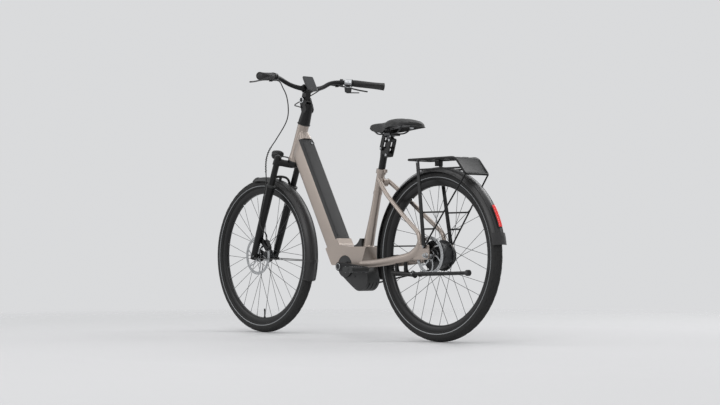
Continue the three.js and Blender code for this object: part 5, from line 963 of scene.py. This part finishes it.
def swollen(piece, wanted):
    kept = [v.co.copy() for v in piece.data.vertices]
    held = piece.vertex_groups.new(name="held")
    low = [v.index for v in piece.data.vertices if wanted(v)]
    held.add(low, 1.0, "REPLACE")
    take(piece)
    bpy.ops.object.modifier_add(type="CLOTH")
    cloth = piece.modifiers[-1]
    cloth.settings.quality = 5
    cloth.settings.use_pressure = True
    cloth.settings.uniform_pressure_force = saddle["pressure"]
    cloth.settings.effector_weights.gravity = 0
    cloth.settings.vertex_group_mass = "held"
    cloth.point_cache.frame_end = saddle["frames"]
    for step in range(1, saddle["frames"] + 1):
        bpy.context.scene.frame_set(step)
    bpy.ops.object.modifier_apply(modifier=cloth.name)
    bpy.context.scene.frame_set(1)
    for corner, old in zip(piece.data.vertices, kept):
        move = corner.co - old
        if move.length > saddle["cap"]:
            corner.co = old + move * saddle["cap"] / move.length
    piece.vertex_groups.clear()


def madeSaddle():
    piece = softened("saddle", "SaddleCushion", 60)
    pin = saddle["pin"]
    swollen(piece, lambda v: v.normal.z < 0.08)
    modified(piece, "SUBSURF", levels=1, render_levels=1)
    for corner in piece.data.vertices:
        reach = (pin.x + saddle["front"] - corner.co.x) / (saddle["front"] - saddle["rear"])
        if corner.normal.z < 0.3:
            continue
        run = max(0.0, min(1, (reach - 0.22) / 0.2, (0.97 - reach) / 0.16))
        half = saddle["channelHalf"] * (0.75 + 0.8 * reach)
        dip = max(0.0, 1 - (corner.co.y / half) ** 2)
        corner.co.z -= saddle["channel"] * run * dip * dip
    return piece


def onSaddle(piece, reach, side):
    pin = saddle["pin"]
    x = pin.x + saddle["front"] + (saddle["rear"] - saddle["front"]) * reach
    start = Vector((x, side * saddle["half"] * between(widthShares, reach), pin.z + 0.12))
    hit, place, normal, _ = piece.ray_cast(start, Vector((0, 0, -1)))
    return (place, normal) if hit else (None, None)


cushion = madeSaddle()
bpy.context.view_layer.update()
stitches = []
for s in (1, -1):
    for k in range(58):
        reach = 0.10 + 0.85 * k / 57
        spot, lift = onSaddle(cushion, reach, s * saddle["seamShare"])
        ahead, _ = onSaddle(cushion, reach + 0.006, s * saddle["seamShare"])
        if spot is None or ahead is None:
            continue
        run = (ahead - spot).normalized() * saddle["stitch"] * 0.36
        stitches.append(rod("stitch", spot - run + lift * 0.0002, spot + run + lift * 0.0002, 0.00045, 6))
settle(cushion, "seat", "saddle_cover", "saddle", angle=60)
threadPaint = satin("StitchThread", (0.05, 0.05, 0.052), 0.7, 0.0, 3000, 0.00002)
settle(joined("SaddleStitches", *stitches), "seat", "saddle_cover", paint=threadPaint)


def hemPoint(reach, side, grow=0.0):
    pin = saddle["pin"]
    x = pin.x + saddle["front"] + (saddle["rear"] - saddle["front"]) * reach
    z = pin.z + saddle["hem"] + (saddle["top"] - saddle["hem"]) * between(hemShares, reach)
    return Vector((x, side * (saddle["half"] * between(widthShares, reach) + grow), z + 0.0008))


reaches = [0.01 + 0.98 * k / 40 for k in range(41)]
edge = [hemPoint(r, 1, -0.0008) for r in reaches] + [hemPoint(r, -1, -0.0008) for r in reversed(reaches)]
settle(tubed("SaddlePiping", edge, 0.0016, 8, 3, True), "seat", "saddle_cover", paint=paints["black_plastic"])
tailClip = turned("SaddleTailClip", mm(1, -9, 4.2, -9, 5, -8, 5, 8, 4.2, 9, 1, 9),
                  saddle["pin"] + Vector((saddle["rear"] + 0.014, 0, 0.0165)), steps=24)
settle(tailClip, "seat", "dark_metal", paint=paints["bright_steel"])
print("stage: saddle")
# Seatpost: pins in the links and the two bolts of the saddle's cradle

pins = {
    "post": ((0.34797, 0.826), (0.31297, 0.796)),
    "seat": ((saddle["pin"].x, saddle["pin"].z), (0.29197, 0.859)),
}
for body, places in pins.items():
    bolts = [boltHead("linkPin", (x, s * 0.0172, z), acrossBike * s, 0.0055, 0.003)
             for x, z in places for s in (1, -1)]
    if body == "seat":
        bolts += [boltHead("cradleBolt", (0.293, s * 0.012, 0.8775), -upWorld, 0.0042, 0.004) for s in (1, -1)]
    settle(joined(body.title() + "Bolts", *bolts), body, "dark_metal", paint=paints["bright_steel"])

# Grips, shifter band, screen and stem rings: what the cockpit shows

cockpit = {
    "inner": Vector((0.83203, 0.236, 1.16399)), "outer": Vector((0.76003, 0.360, 1.15099)),
    "clamp": Vector((0.84573, -0.21899, 1.166)), "clampAxis": Vector((-0.633, -0.77, -0.078)),
    "pivot": Vector((0.8904, 0, 1.07488)), "centre": Vector((0.87603, 0, 1.12699)),
    "lever": (0.86544, 0.19545, 1.16798), "leverPin": (0.89844, 0.19545, 1.1603),
}
gripRun = cockpit["outer"] - cockpit["inner"]
gripLength = gripRun.length
gripAxis = gripRun.normalized()


def madeGripPaint():
    paint = Paint("RibbedGrip", finishes["rubber"], 0.68, 0.0)
    parts = paint.parts()
    aside = paint.math("ABSOLUTE", parts["Y"])
    along = (parts["X"] - cockpit["inner"].x) * gripAxis.x + (aside - cockpit["inner"].y) * gripAxis.y
    along = along + (parts["Z"] - cockpit["inner"].z) * gripAxis.z
    wave = paint.math("SINE", along * (full / 0.0042))
    inside = paint.math("GREATER_THAN", along, 0.012) * paint.math("LESS_THAN", along, gripLength - 0.014)
    ribs = paint.range(wave, -0.55, 0.55, 0, 1) * inside
    grain = paint.noise(2200, 3, 0.6)
    # Grooves painted darker and rib crests lighter on the same rubber: painted shade and highlight across the ribs
    paint.tint(ribs, (0.007, 0.007, 0.007), (0.019, 0.019, 0.0195))
    paint.rough(grain, 0.58, 0.8)
    paint.bump(ribs * 0.8 + grain * 0.2, 0.0007)
    return paint


def sided(place, s):
    return Vector((place[0], s * place[1], place[2]))


gripPaint = madeGripPaint()
for s, side in ((1, "left"), (-1, "right")):
    piece = softened("grip_" + side, "Grip" + side.title(), 75)
    settle(piece, "cockpit", "grip_rubber", "grip_" + side, angle=50, paint=gripPaint)
    inner, outer, run = [sided(cockpit[key], s) for key in ("inner", "outer")] + [sided(gripAxis, s)]
    collar = turned("GripCollar" + side.title(), mm(11.8, 0, 16.2, 0, 17.2, 1, 17.2, 6.2, 16.2, 7.4, 11.8, 7.4),
                    inner - run * 0.0075, run, 48)
    settle(bevelled(collar, 0.0004), "cockpit", "grip_rubber", paint=paints["black_metal"])
    cap = turned("GripEnd" + side.title(), mm(0.1, 6.8, 10.8, 6.6, 12.8, 5.2, 13.4, 3, 13.4, 0, 0.1, 0),
                 outer - run * 0.0005, run, 48)
    settle(cap, "cockpit", "grip_rubber", paint=paints["black_plastic"])

bandAxis = cockpit["clampAxis"].normalized()
bandHalf = mm(15.6, 16.5, 16.6, 16.5, 17, 15.8, 17, 14.5, 16.4, 13.8)
bandShape = [(radius, -along) for radius, along in bandHalf] + bandHalf[::-1]
band = turned("ShifterBand", bandShape, cockpit["clamp"], bandAxis, 56)
settle(band, "cockpit", "bright_steel")
podRing = turned("ShifterRing", mm(17, -0.6, 18.4, -0.6, 18.4, 1.8, 17, 1.8), cockpit["clamp"] - upWorld * 0.0235,
                 upWorld, 48)
settle(podRing, "cockpit", "bright_steel")
for s, side in ((1, "Left"), (-1, "Right")):
    out = acrossBike * s
    seat = cockpit["pivot"] + out * 0.0232
    ring = turned("StemRing" + side, mm(9.6, 0, 13.8, 0, 14.3, 0.5, 14.3, 1.2, 13.6, 1.9, 10, 1.9, 9.6, 1.2), seat,
                  out, 48)
    settle(ring, "fork", "bright_steel")
    cap = boltHead("StemBolt" + side, seat - out * 0.001, out, 0.0072, 0.0028, sides=28)
    settle(cap, "fork", "bright_steel", paint=paints["dark_metal"])
clampBolts = []
for s in (1, -1):
    for seat, out, radius, height in (
            (cockpit["centre"] + Vector((0.0185, s * 0.015, 0.0035)), (0.98, 0, 0.2), 0.0038, 0.003),
            (cockpit["centre"] + Vector((0.0085, s * 0.015, -0.0178)), (0.45, 0, -0.9), 0.0038, 0.003),
            (sided(cockpit["lever"], s) + Vector((-0.0135, 0, 0.0095)), (-0.82, 0, 0.57), 0.0034, 0.0026),
            (sided(cockpit["leverPin"], s), upWorld, 0.0040, 0.0030)):
        clampBolts.append(boltHead("clampBolt", seat, out, radius, height))
settle(joined("CockpitBolts", *clampBolts), "cockpit", "bright_steel")

screenFace = {
    "centre": cockpit["centre"] + Vector((-0.022, 0, 0.023)), "tilt": math.radians(60), "half": (0.0258, 0.0338),
    "corner": 0.004,
}
down = Vector((-math.cos(screenFace["tilt"]), 0, -math.sin(screenFace["tilt"])))
face = Vector((-math.sin(screenFace["tilt"]), 0, math.cos(screenFace["tilt"])))
corners = []
wide, high = screenFace["half"]
bend = screenFace["corner"]
for quarter, (sx, sy) in enumerate(((1, 1), (-1, 1), (-1, -1), (1, -1))):
    for k in range(5):
        turn = math.radians(90 * quarter + 22.5 * k)
        corners.append(screenFace["centre"] + acrossBike * (sx * (wide - bend) + bend * math.cos(turn))
                       + down * (sy * (high - bend) + bend * math.sin(turn)) - face * 0.0005)
glass = Paint("ScreenGlass", (0.005, 0.0055, 0.007), 0.09, 0.0, Coat_Weight=0.8, Coat_Roughness=0.04)
# The glass is painted lighter towards its top: a painted reflection of light from above
paintedTopSheen = glass.range(glass.parts(screenFace["centre"])["Z"], -0.03, 0.03, 0, 1)
glass.tint(paintedTopSheen, (0.004, 0.0045, 0.006), (0.014, 0.016, 0.02))
glass.rough(glass.noise(40), 0.06, 0.13)
settle(plate("DisplayScreen", corners, face * 0.0008), "cockpit", "display_glass", paint=glass)
buttons = []
for k in (-1, 0, 1):
    seat = screenFace["centre"] + acrossBike * k * 0.013 + down * 0.0362 - face * 0.0007
    buttons.append(turned("displayButton", mm(0.1, 0, 3, 0, 3, 0.6, 2.4, 1.1, 0.1, 1.2), seat, face, 20))
settle(joined("DisplayButtons", *buttons), "cockpit", "display_glass", paint=paints["black_plastic"])
print("stage: cockpit")

# Brake hoses, each along its CAD route

hoses = {
    "radius": 0.0026,
    "front": [
        (0.9036, 0.1609, 1.16), (0.9117, 0.1313, 1.1505), (0.9193, 0.1086, 1.1262), (0.928, 0.0859, 1.1024),
        (0.9367, 0.0691, 1.0743), (0.9427, 0.0594, 1.0423), (0.9524, 0.0524, 1.0105), (0.9713, 0.0459, 0.9832),
        (0.9961, 0.0404, 0.9605), (1.0226, 0.036, 0.9395), (1.0489, 0.0336, 0.918), (1.0719, 0.0359, 0.8932),
        (1.0889, 0.0461, 0.8659), (1.0887, 0.0636, 0.8372), (1.0806, 0.0795, 0.8083), (1.07, 0.0903, 0.7779),
        (1.0642, 0.0943, 0.7446), (1.0631, 0.094, 0.7107), (1.0683, 0.0942, 0.6771), (1.0778, 0.0944, 0.6444),
        (1.0885, 0.0945, 0.6121), (1.0993, 0.0942, 0.5797), (1.1087, 0.0933, 0.5471), (1.1125, 0.0919, 0.5133),
        (1.1101, 0.0799, 0.4824), (1.1109, 0.0557, 0.4593), (1.1267, 0.041, 0.4336),
    ],
    "rear": [
        (0.9036, -0.1609, 1.16), (0.9079, -0.1442, 1.16), (0.9138, -0.1308, 1.1506), (0.9196, -0.119, 1.1391),
        (0.925, -0.1068, 1.1279), (0.93, -0.0932, 1.1181), (0.9347, -0.0791, 1.109), (0.9389, -0.0646, 1.1002),
        (0.942, -0.0497, 1.0917), (0.9442, -0.0343, 1.0838), (0.9453, -0.0186, 1.0764), (0.9446, -0.0028, 1.069),
        (0.941, 0.0127, 1.0618), (0.9345, 0.0273, 1.0549), (0.9206, 0.0348, 1.0492), (0.9037, 0.0336, 1.0453),
        (0.8881, 0.028, 1.0397),
    ],
    "wrap": {"from": 12, "to": 16, "turns": 11, "radius": 0.0012},
    "bends": {
        "front": ((0.955, 0.05, 1.0), (0.915, 0.12, 1.145)),
        "rear": ((0.92, 0.035, 1.05), (0.915, -0.12, 1.145)),
        "low": ((1.0778, 0.0944, 0.6444), (1.1101, 0.0799, 0.4824)),
    },
    "parting": (1.0778, 0.0944, 0.6444),
}
lowest = hoses["front"].index(hoses["parting"])
hoseRuns = [("BrakeHoseFront", hoses["front"][:lowest + 1], "cockpit", hoses["bends"]["front"], "brake_hose_front"),
            ("BrakeHoseFrontLow", hoses["front"][lowest:], "lowers", hoses["bends"]["low"], None),
            ("BrakeHoseRear", hoses["rear"], "cockpit", hoses["bends"]["rear"], "brake_hose_rear")]
for title, route, far, ends, node in hoseRuns:
    hosePiece = tubed(title, route, hoses["radius"], 14, 6)
    take(hosePiece)
    bpy.ops.object.shade_smooth_by_angle(angle=math.radians(50))
    hosePiece.data.materials.clear()
    hosePiece.data.materials.append(paints["hose_rubber"].material)
    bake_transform(hosePiece)
    if node:
        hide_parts(node)
for side in ("front", "rear"):
    start, second = Vector(hoses[side][0]), Vector(hoses[side][1])
    back = (start - second).normalized()
    fitting = joined("HoseFitting" + side.title(),
                     rod("ferrule", start + back * 0.002, start - back * 0.012, 0.0042, 16, 0.0034),
                     rod("ferruleNut", start + back * 0.004, start - back * 0.002, 0.0050, 6))
    settle(fitting, "cockpit", "black_metal", angle=30)
def coilPoints():
    wrap = hoses["wrap"]
    line = [Vector(p) for p in hoses["front"][wrap["from"]:wrap["to"] + 1]]
    steps = wrap["turns"] * 10
    reach = hoses["radius"] + wrap["radius"] * 0.9
    points = []
    for k in range(steps + 1):
        place = k / steps * (len(line) - 1)
        i = min(int(place), len(line) - 2)
        before, after = line[max(0, i - 1)], line[min(len(line) - 1, i + 2)]
        run = (after - before).normalized()
        side = run.cross(aheadBike).normalized()
        turn = full * k / 10
        points.append(line[i].lerp(line[i + 1], place - i) + side * reach * math.cos(turn)
                      + run.cross(side) * reach * math.sin(turn))
    return points


settle(tubed("HoseSpiral", coilPoints(), hoses["wrap"]["radius"], 6, 3), "fork", "black_plastic", angle=60)
print("stage: hoses")

# Head tube's rings, the fork's seals and caps, the lamp's lens

head = {
    "base": Vector((1.15328, 0, 0.344143)), "up": Vector((-0.374607, 0, 0.927184)),
    "ahead": Vector((0.927184, 0, 0.374607)), "legSide": 0.064, "offset": 0.045,
}


def onSteerer(along, ahead, side=0.0):
    return head["base"] + head["up"] * along + head["ahead"] * ahead + acrossBike * side

def onLeg(along, s):
    return onSteerer(along, head["offset"], s * head["legSide"])


seal = turned("HeadSeal", mm(26.2, 0, 30, 0, 30.6, 0.8, 30.6, 3, 30, 3.8, 26.2, 3.8), onSteerer(0.6679, 0),
              head["up"], 64)
settle(seal, "fork", "black_plastic", angle=30)
lowSeal = turned("HeadSealLow", mm(26.2, 0, 30.2, 0, 31, 1, 31, 4.6, 30.2, 5.6, 26.2, 5.6), onSteerer(0.4858, 0),
                 head["up"], 64)
settle(lowSeal, "fork", "dark_metal", angle=30)
legRings = {
    "ForkWipers": ("lowers", "black_plastic", "black_plastic", 0.345, 56,
                   mm(15.2, -2, 22.8, -2, 23.6, -1, 23.6, 5, 22.2, 6.6, 19.6, 7.6, 16.6, 9.8, 15.2, 9.8)),
    "ForkCaps": ("fork", "black_metal", "black_metal", 0.4895, 48,
                 mm(0.1, 0, 16.6, 0, 16.6, 1.8, 15.4, 3.2, 12, 3.6, 11.6, 6, 10.6, 6.8, 0.1, 6.8)),
    "ForkKnobs": ("fork", "bright_steel", "dark_metal", 0.4895, 24,
                  mm(0.1, 6, 7, 6, 7, 9.2, 6, 10.2, 0.1, 10.4)),
}
for name, (body, slotName, paintName, along, steps, profile) in legRings.items():
    rings = pairOf(name, lambda s: turned("legRing", profile, onLeg(along, s), head["up"], steps))
    settle(rings, body, slotName, angle=30, paint=paints[paintName])
axleEnds = pairOf("FrontAxleEnds", lambda s: turned(
    "axleEnd", mm(3.2, 0, 9.2, 0, 9.8, 0.6, 9.8, 3.2, 8.8, 4.2, 4, 4.2, 3.2, 3),
    wheels["front"]["axle"] + acrossBike * s * 0.0717, acrossBike * s, 40))
settle(axleEnds, "lowers", "bright_steel", angle=30)

lampFace = Vector((1.0923 + 0.029, 0, 0.83398))
bezel = turned("LampBezel", mm(16.2, -1, 20.6, -4, 20.8, -0.6, 20.2, 0.2, 16.8, 0.2, 16.2, -0.2), lampFace, aheadBike,
               56)
settle(bevelled(bezel, 0.0003), "fork", "black_metal", angle=30, paint=paints["bright_steel"])
lensPaint = Paint("LampLens", (0.55, 0.57, 0.60), 0.12, 0.3, Coat_Weight=1.0, Coat_Roughness=0.03)
# The flutes are painted as lighter and darker stripes on the lens: painted glints and shade across the flutes
flutes = lensPaint.math("SINE", lensPaint.parts(lampFace)["Y"] * 2400)
lensPaint.tint(lensPaint.range(flutes, -1, 1, 0, 1), (0.34, 0.36, 0.39), (0.70, 0.72, 0.75))
lensPaint.bump(flutes, 0.0002, 0.6)
lampLens = turned("LampLens", mm(0.1, -1.2, 16.4, -2.6, 16.6, -1.6, 12, -0.2, 6, 0.4, 0.1, 0.6),
                  lampFace - aheadBike * 0.0004, aheadBike, 56)
settle(lampLens, "fork", "display_glass", angle=40, paint=lensPaint)
print("stage: fork")

# Battery: seam line along the cover, key cylinder's rim

def onDownTube(along, side):
    return bay["foot"] + bay["up"] * along + bay["out"] * 0.0459 + acrossBike * side


keyRim = turned("KeyRim", mm(7.8, 0, 10.4, 0, 10.8, 0.4, 10.6, 1.2, 9.8, 1.6, 7.8, 1.4), onDownTube(0.508, -0.024),
                bay["out"], 40)
settle(keyRim, "battery_pack", "battery_cover", paint=paints["black_plastic"])
coverEdge = {"low": 0.016, "high": 0.513, "side": 0.0292}
grooves = []
low, high, side = coverEdge["low"], coverEdge["high"], coverEdge["side"]
for start, end, across in (((low, side), (high, side), acrossBike), ((low, -side), (high, -side), acrossBike),
                           ((low, side), (low, -side), bay["up"]), ((high, side), (high, -side), bay["up"])):
    start, end, edge = onDownTube(*start), onDownTube(*end), across * 0.0007
    grooves.append(plate("coverLine", [start - edge, start + edge, end + edge, end - edge], bay["out"] * 0.0005))
settle(joined("CoverLines", *grooves), "battery_pack", "battery_cover", paint=paints["black_plastic"])
print("stage: battery")

# Drive: pulley, sprocket, belt, crank caps, motor screws and what the pedals carry

drive = {
    "crank": Vector((0.545, 0, 0.313)), "rear": wheels["rear"]["axle"], "line": -0.052, "width": 0.012,
    "pitch": 0.011, "front": 50, "back": 24, "backing": 0.0032, "guard": 0.097, "arms": 5,
    "toothInset": 0.0003, "capSide": 0.0942,
}
frontRadius = drive["front"] * drive["pitch"] / full
backRadius = drive["back"] * drive["pitch"] / full
beltTall = acrossBike * drive["width"]


def toothRing(centre, radius, count, inner, name):
    ring = turned(name, [(inner, -0.006), (radius - 0.0040, -0.006), (radius - 0.0034, -0.0054),
                         (radius - 0.0034, 0.0054), (radius - 0.0040, 0.006), (inner, 0.006)],
                  centre, acrossBike, count * 3)
    low, high = radius - 0.0042, radius - 0.0007
    half = drive["pitch"] * 0.24
    corners = [(low, -half * 1.15), (low, half * 1.15), (high, half * 0.8), (high, -half * 0.8)]
    blade = plate("tooth", [centre + Vector((x, 0, z)) for x, z in corners], beltTall)
    return [ring] + ringOf(blade, count, centre)


pulleySeat = drive["crank"] + acrossBike * drive["line"]
inner = frontRadius - 0.009
hubRing = turned("pulleyHub", mm(11.8, -6.8, 26, -6.8, 27, -6, 27, 3, 26, 3.8, 11.8, 3.8), pulleySeat, acrossBike, 60)
spider, guardBolts = [], []
armSide = [(0.016, 0.5), (0.03, 0.28), (0.055, 0.13), (inner + 0.002, 0.16)]
armEdge = [(radius, -swing) for radius, swing in armSide] + armSide[::-1]
for k in range(drive["arms"]):
    turn = full * k / drive["arms"]
    blade = plate("spiderArm", [onWheel(pulleySeat, radius, turn + swing, -0.0045) for radius, swing in armEdge],
                  acrossBike * 0.004)
    spider.append(bevelled(blade, 0.0008))
    seat = onWheel(pulleySeat, inner + 0.004, turn, -0.0082)
    guardBolts.append(boltHead("guardBolt", seat, -acrossBike, 0.0042, 0.0022))
pulley = toothRing(pulleySeat, frontRadius, drive["front"], inner, "pulleyRing")
settle(joined("BeltPulley", *pulley, hubRing, *spider), "cranks", "black_metal", "belt_pulley", angle=30)
rim = drive["guard"]
guardRing = turned("BeltGuard", [(inner - 0.0015, -0.0083), (rim - 0.0010, -0.0083), (rim, -0.0076), (rim, -0.0070),
                                 (rim - 0.0010, -0.0063), (inner - 0.0015, -0.0063)], pulleySeat, acrossBike, 120)
settle(guardRing, "cranks", "black_metal", angle=30, paint=paints["black_plastic"])
settle(joined("GuardBolts", *guardBolts), "cranks", "bright_steel")

sprocketSeat = drive["rear"] + acrossBike * drive["line"]
boss = turned("sprocketBoss", mm(5.7, -7.9, 16, -7.9, 16.8, -7, 16.8, 14.5, 16, 15.3, 5.7, 15.3), sprocketSeat,
              acrossBike, 48)
sprocket = toothRing(sprocketSeat, backRadius, drive["back"], 0.0150, "sprocketRing")
settle(joined("RearSprocket", *sprocket, boss), "sprocket", "dark_metal", "rear_sprocket", angle=30)

span = drive["crank"] - drive["rear"]
lean = math.atan2(span.z, span.x)
opening = math.acos((frontRadius - backRadius) / span.length)


def beltPath(grow, steps=60):
    points = []
    for k in range(steps + 1):
        turn = lean + opening - math.pi + 2 * (math.pi - opening) * k / steps
        points.append(onWheel(pulleySeat, frontRadius + grow, turn))
    for k in range(steps // 2 + 1):
        turn = lean + math.pi - opening + 2 * opening * k / (steps // 2)
        points.append(onWheel(sprocketSeat, backRadius + grow, turn))
    return points


def madeBelt():
    band = laid("Belt", [place + beltTall / 2 for place in beltPath(-drive["toothInset"])])
    bpy.ops.mesh.extrude_edges_move(TRANSFORM_OT_translate={"value": -beltTall})
    chooseAll()
    bpy.ops.mesh.normals_make_consistent(inside=False)
    leave()
    modified(band, "SOLIDIFY", thickness=drive["backing"], offset=1)
    teeth = []
    for s in (1, -1):
        turn = lean + math.pi - s * opening
        out = onWheel(Vector(), 1, turn)
        start = onWheel(pulleySeat, frontRadius - drive["toothInset"], turn)
        end = onWheel(sprocketSeat, backRadius - drive["toothInset"], turn)
        run = (end - start).normalized()
        length = (end - start).length
        count = int((length - 0.048) / drive["pitch"])
        first = (length - (count - 1) * drive["pitch"]) / 2
        for k in range(count):
            middle = start + run * (first + k * drive["pitch"])
            corners = [middle + run * ahead + out * rise for ahead, rise in (
                (-0.0029, 0.0002), (0.0029, 0.0002), (0.0014, -0.0027), (-0.0014, -0.0027))]
            teeth.append(plate("beltTooth", corners, beltTall))
    return joined("Belt", band, *teeth)


settle(madeBelt(), "frame", "belt_rubber", "belt", angle=35)
capRings = pairOf("CrankRings", lambda s: turned(
    "crankRing", mm(11.2, -0.6, 13.8, -0.6, 14.2, 0.2, 13.6, 1, 11.6, 1, 11.2, 0.2),
    drive["crank"] + acrossBike * s * drive["capSide"], acrossBike * s, 48))
settle(capRings, "cranks", "bright_steel", angle=30)
capBolts = pairOf("CrankBolts", lambda s: boltHead(
    "crankBolt", drive["crank"] + acrossBike * s * (drive["capSide"] - 0.0006), acrossBike * s, 0.0086, 0.0014, 30))
settle(capBolts, "cranks", "dark_metal", angle=30)
motorScrews = [boltHead("motorScrew", (x, s * 0.0357, z), acrossBike * s, 0.0036, 0.0018)
               for x, z in ((0.478, 0.336), (0.498, 0.269), (0.563, 0.268), (0.592, 0.296)) for s in (1, -1)]
settle(joined("MotorScrews", *motorScrews), "frame", "bright_steel", paint=paints["dark_metal"])

tread = Paint("PedalTread", (0.02, 0.02, 0.021), 0.85, 0.0)
grit = tread.noise(1800, 5, 0.75)
tread.tint(grit, (0.008, 0.008, 0.009), (0.045, 0.045, 0.047))
tread.bump(grit, 0.0006)
pedals = {"l": (Vector((0.3704, 0.141, 0.3008)), "Left", 1), "r": (Vector((0.7196, -0.141, 0.3252)), "Right", -1)}
for key, (middle, side, out) in pedals.items():
    treads, pins = [], []
    for s in (1, -1):
        for up in (1, -1):
            pad = block("pedalPad", middle + Vector((s * 0.0225, 0, up * 0.0119)), (0.0065, 0.080, 0.0009))
            treads.append(bevelled(pad, 0.0003))
            for along in (-0.039, -0.0135, 0.0135, 0.039):
                foot = middle + Vector((s * 0.0225, along, up * 0.0118))
                pins.append(rod("pedalPin", foot, foot + upWorld * up * 0.0018, 0.0019, 8, 0.0014))
    settle(joined("PedalTreads" + side, *treads), "pedal_" + key, "black_plastic", paint=tread)
    settle(joined("PedalPins" + side, *pins), "pedal_" + key, "bright_steel")
    cap = turned("PedalCap" + side, mm(0.1, 1.6, 5.8, 1.4, 6.6, 0.6, 6.6, 0, 0.1, 0),
                 middle + acrossBike * out * 0.047, acrossBike * out, 28)
    settle(cap, "pedal_" + key, "black_plastic")
print("stage: drive")

# Rear end: axle washers, kickstand with its collar, foot and pivot bolt

washers = pairOf("AxleWashers", lambda s: turned(
    "axleWasher", mm(5.3, 0, 11.8, 0, 12.2, 0.4, 12.2, 1.4, 11.8, 1.8, 5.3, 1.8),
    rearAxle + acrossBike * s * 0.0737, acrossBike * s, 40))
settle(washers, "frame", "bright_steel", angle=30)
stand = {
    "foot": Vector((-0.255, 0.078, 0.291)), "knee": Vector((0.050, 0.0688, 0.2818)),
    "pivot": Vector((0.078, 0.068, 0.281)), "lean": math.radians(26), "radius": 0.0075,
}
standCollar = turned("standCollar", mm(7, -2, 9.2, -2, 9.8, -1, 9.8, 12, 9, 13.5, 7, 13.5),
                     stand["knee"] - aheadBike * 0.004, (stand["foot"] - stand["knee"]).normalized(), 40)
leg = joined("KickstandLeg", rod("standRod", stand["knee"], stand["foot"], stand["radius"], 28), standCollar)
settle(leg, "stand", "black_metal", angle=35)
pad = turned("StandPad",
             mm(7.8, -12, 9.8, -12, 12.2, -10.5, 12.6, -9, 12.6, 4.5, 11.6, 5.6, 0.1, 6, 0.1, -10, 7.8, -10),
             stand["foot"], (stand["foot"] - stand["pivot"]).normalized(), 40)
settle(bevelled(pad, 0.0005), "stand", "black_plastic", angle=35)
kickAxis = Vector((0, math.cos(stand["lean"]), math.sin(stand["lean"])))
standBolt = boltHead("StandBolt", stand["pivot"] + kickAxis * 0.0135, kickAxis, 0.0062, 0.0040)
settle(standBolt, "frame", "bright_steel")
print("stage: rear end")

# Floor, world and lamps

studio = {
    "floorTone": (0.80, 0.80, 0.81),
    "backTone": (0.84, 0.85, 0.86),
    "floorSize": 60.0,
    "clear": (1.7, 4.6),
    "shownTone": (0.700, 0.706, 0.716),
    "skyStrength": 0.42,
    "lamps": [
        ("keyLamp", (-3.0, 4.5, 4.2), 3.4, 120),
        ("fillLamp", (4.0, 4.0, 2.6), 3.0, 50),
        ("rimLamp", (0.5, -4.5, 3.6), 3.0, 90),
        ("topLamp", (0.5, 0.3, 5.0), 3.6, 60),
    ],
}


def makeFloor():
    bpy.ops.mesh.primitive_circle_add(vertices=96, radius=studio["floorSize"], fill_type="NGON")
    floor = bpy.context.object
    floor.name = "studioFloor"
    paint = Paint("StudioFloor", studio["floorTone"], 0.7)
    paint.set("Specular IOR Level", 0.2)
    near, far = studio["clear"]
    away = paint.node("VectorMath", {"operation": "LENGTH"}, [paint.spot()])["Value"]
    fade = paint.range(away, near, far, 0, 1)
    clear = paint.node("BsdfTransparent")["BSDF"]
    shown = paint.node("MixShader", None, [fade, Wire(paint, paint.shader.outputs[0]), clear])["Shader"]
    paint.tree.links.new(shown.socket, paint.tree.nodes["Material Output"].inputs["Surface"])
    floor.data.materials.append(paint.material)


def makeWorld():
    world = bpy.data.worlds.new("Studio")
    world.use_nodes = True
    bpy.context.scene.world = world
    tree = world.node_tree
    plain = tree.nodes["Background"]
    plain.inputs["Color"].default_value = (*studio["backTone"], 1)
    plain.inputs["Strength"].default_value = studio["skyStrength"]
    seen = tree.nodes.new("ShaderNodeBackground")
    seen.inputs["Color"].default_value = (*studio["shownTone"], 1)
    path = tree.nodes.new("ShaderNodeLightPath")
    mix = tree.nodes.new("ShaderNodeMixShader")
    seenBy = path.outputs["Is Camera Ray"]
    for other in ("Is Glossy Ray", "Is Transmission Ray"):
        either = tree.nodes.new("ShaderNodeMath")
        either.operation = "MAXIMUM"
        tree.links.new(seenBy, either.inputs[0])
        tree.links.new(path.outputs[other], either.inputs[1])
        seenBy = either.outputs[0]
    tree.links.new(seenBy, mix.inputs[0])
    tree.links.new(plain.outputs[0], mix.inputs[1])
    tree.links.new(seen.outputs[0], mix.inputs[2])
    tree.links.new(mix.outputs[0], tree.nodes["World Output"].inputs["Surface"])


def makeLamps():
    for name, place, size, power in studio["lamps"]:
        bpy.ops.object.light_add(type="AREA", location=place)
        lamp = bpy.context.object
        lamp.name = name
        lamp.data.size = size
        lamp.data.energy = power
        lamp.rotation_euler = (Vector((0.5, 0, 0.5)) - Vector(place)).to_track_quat("-Z", "Y").to_euler()


makeFloor()
makeWorld()
makeLamps()
print("stage: studio")
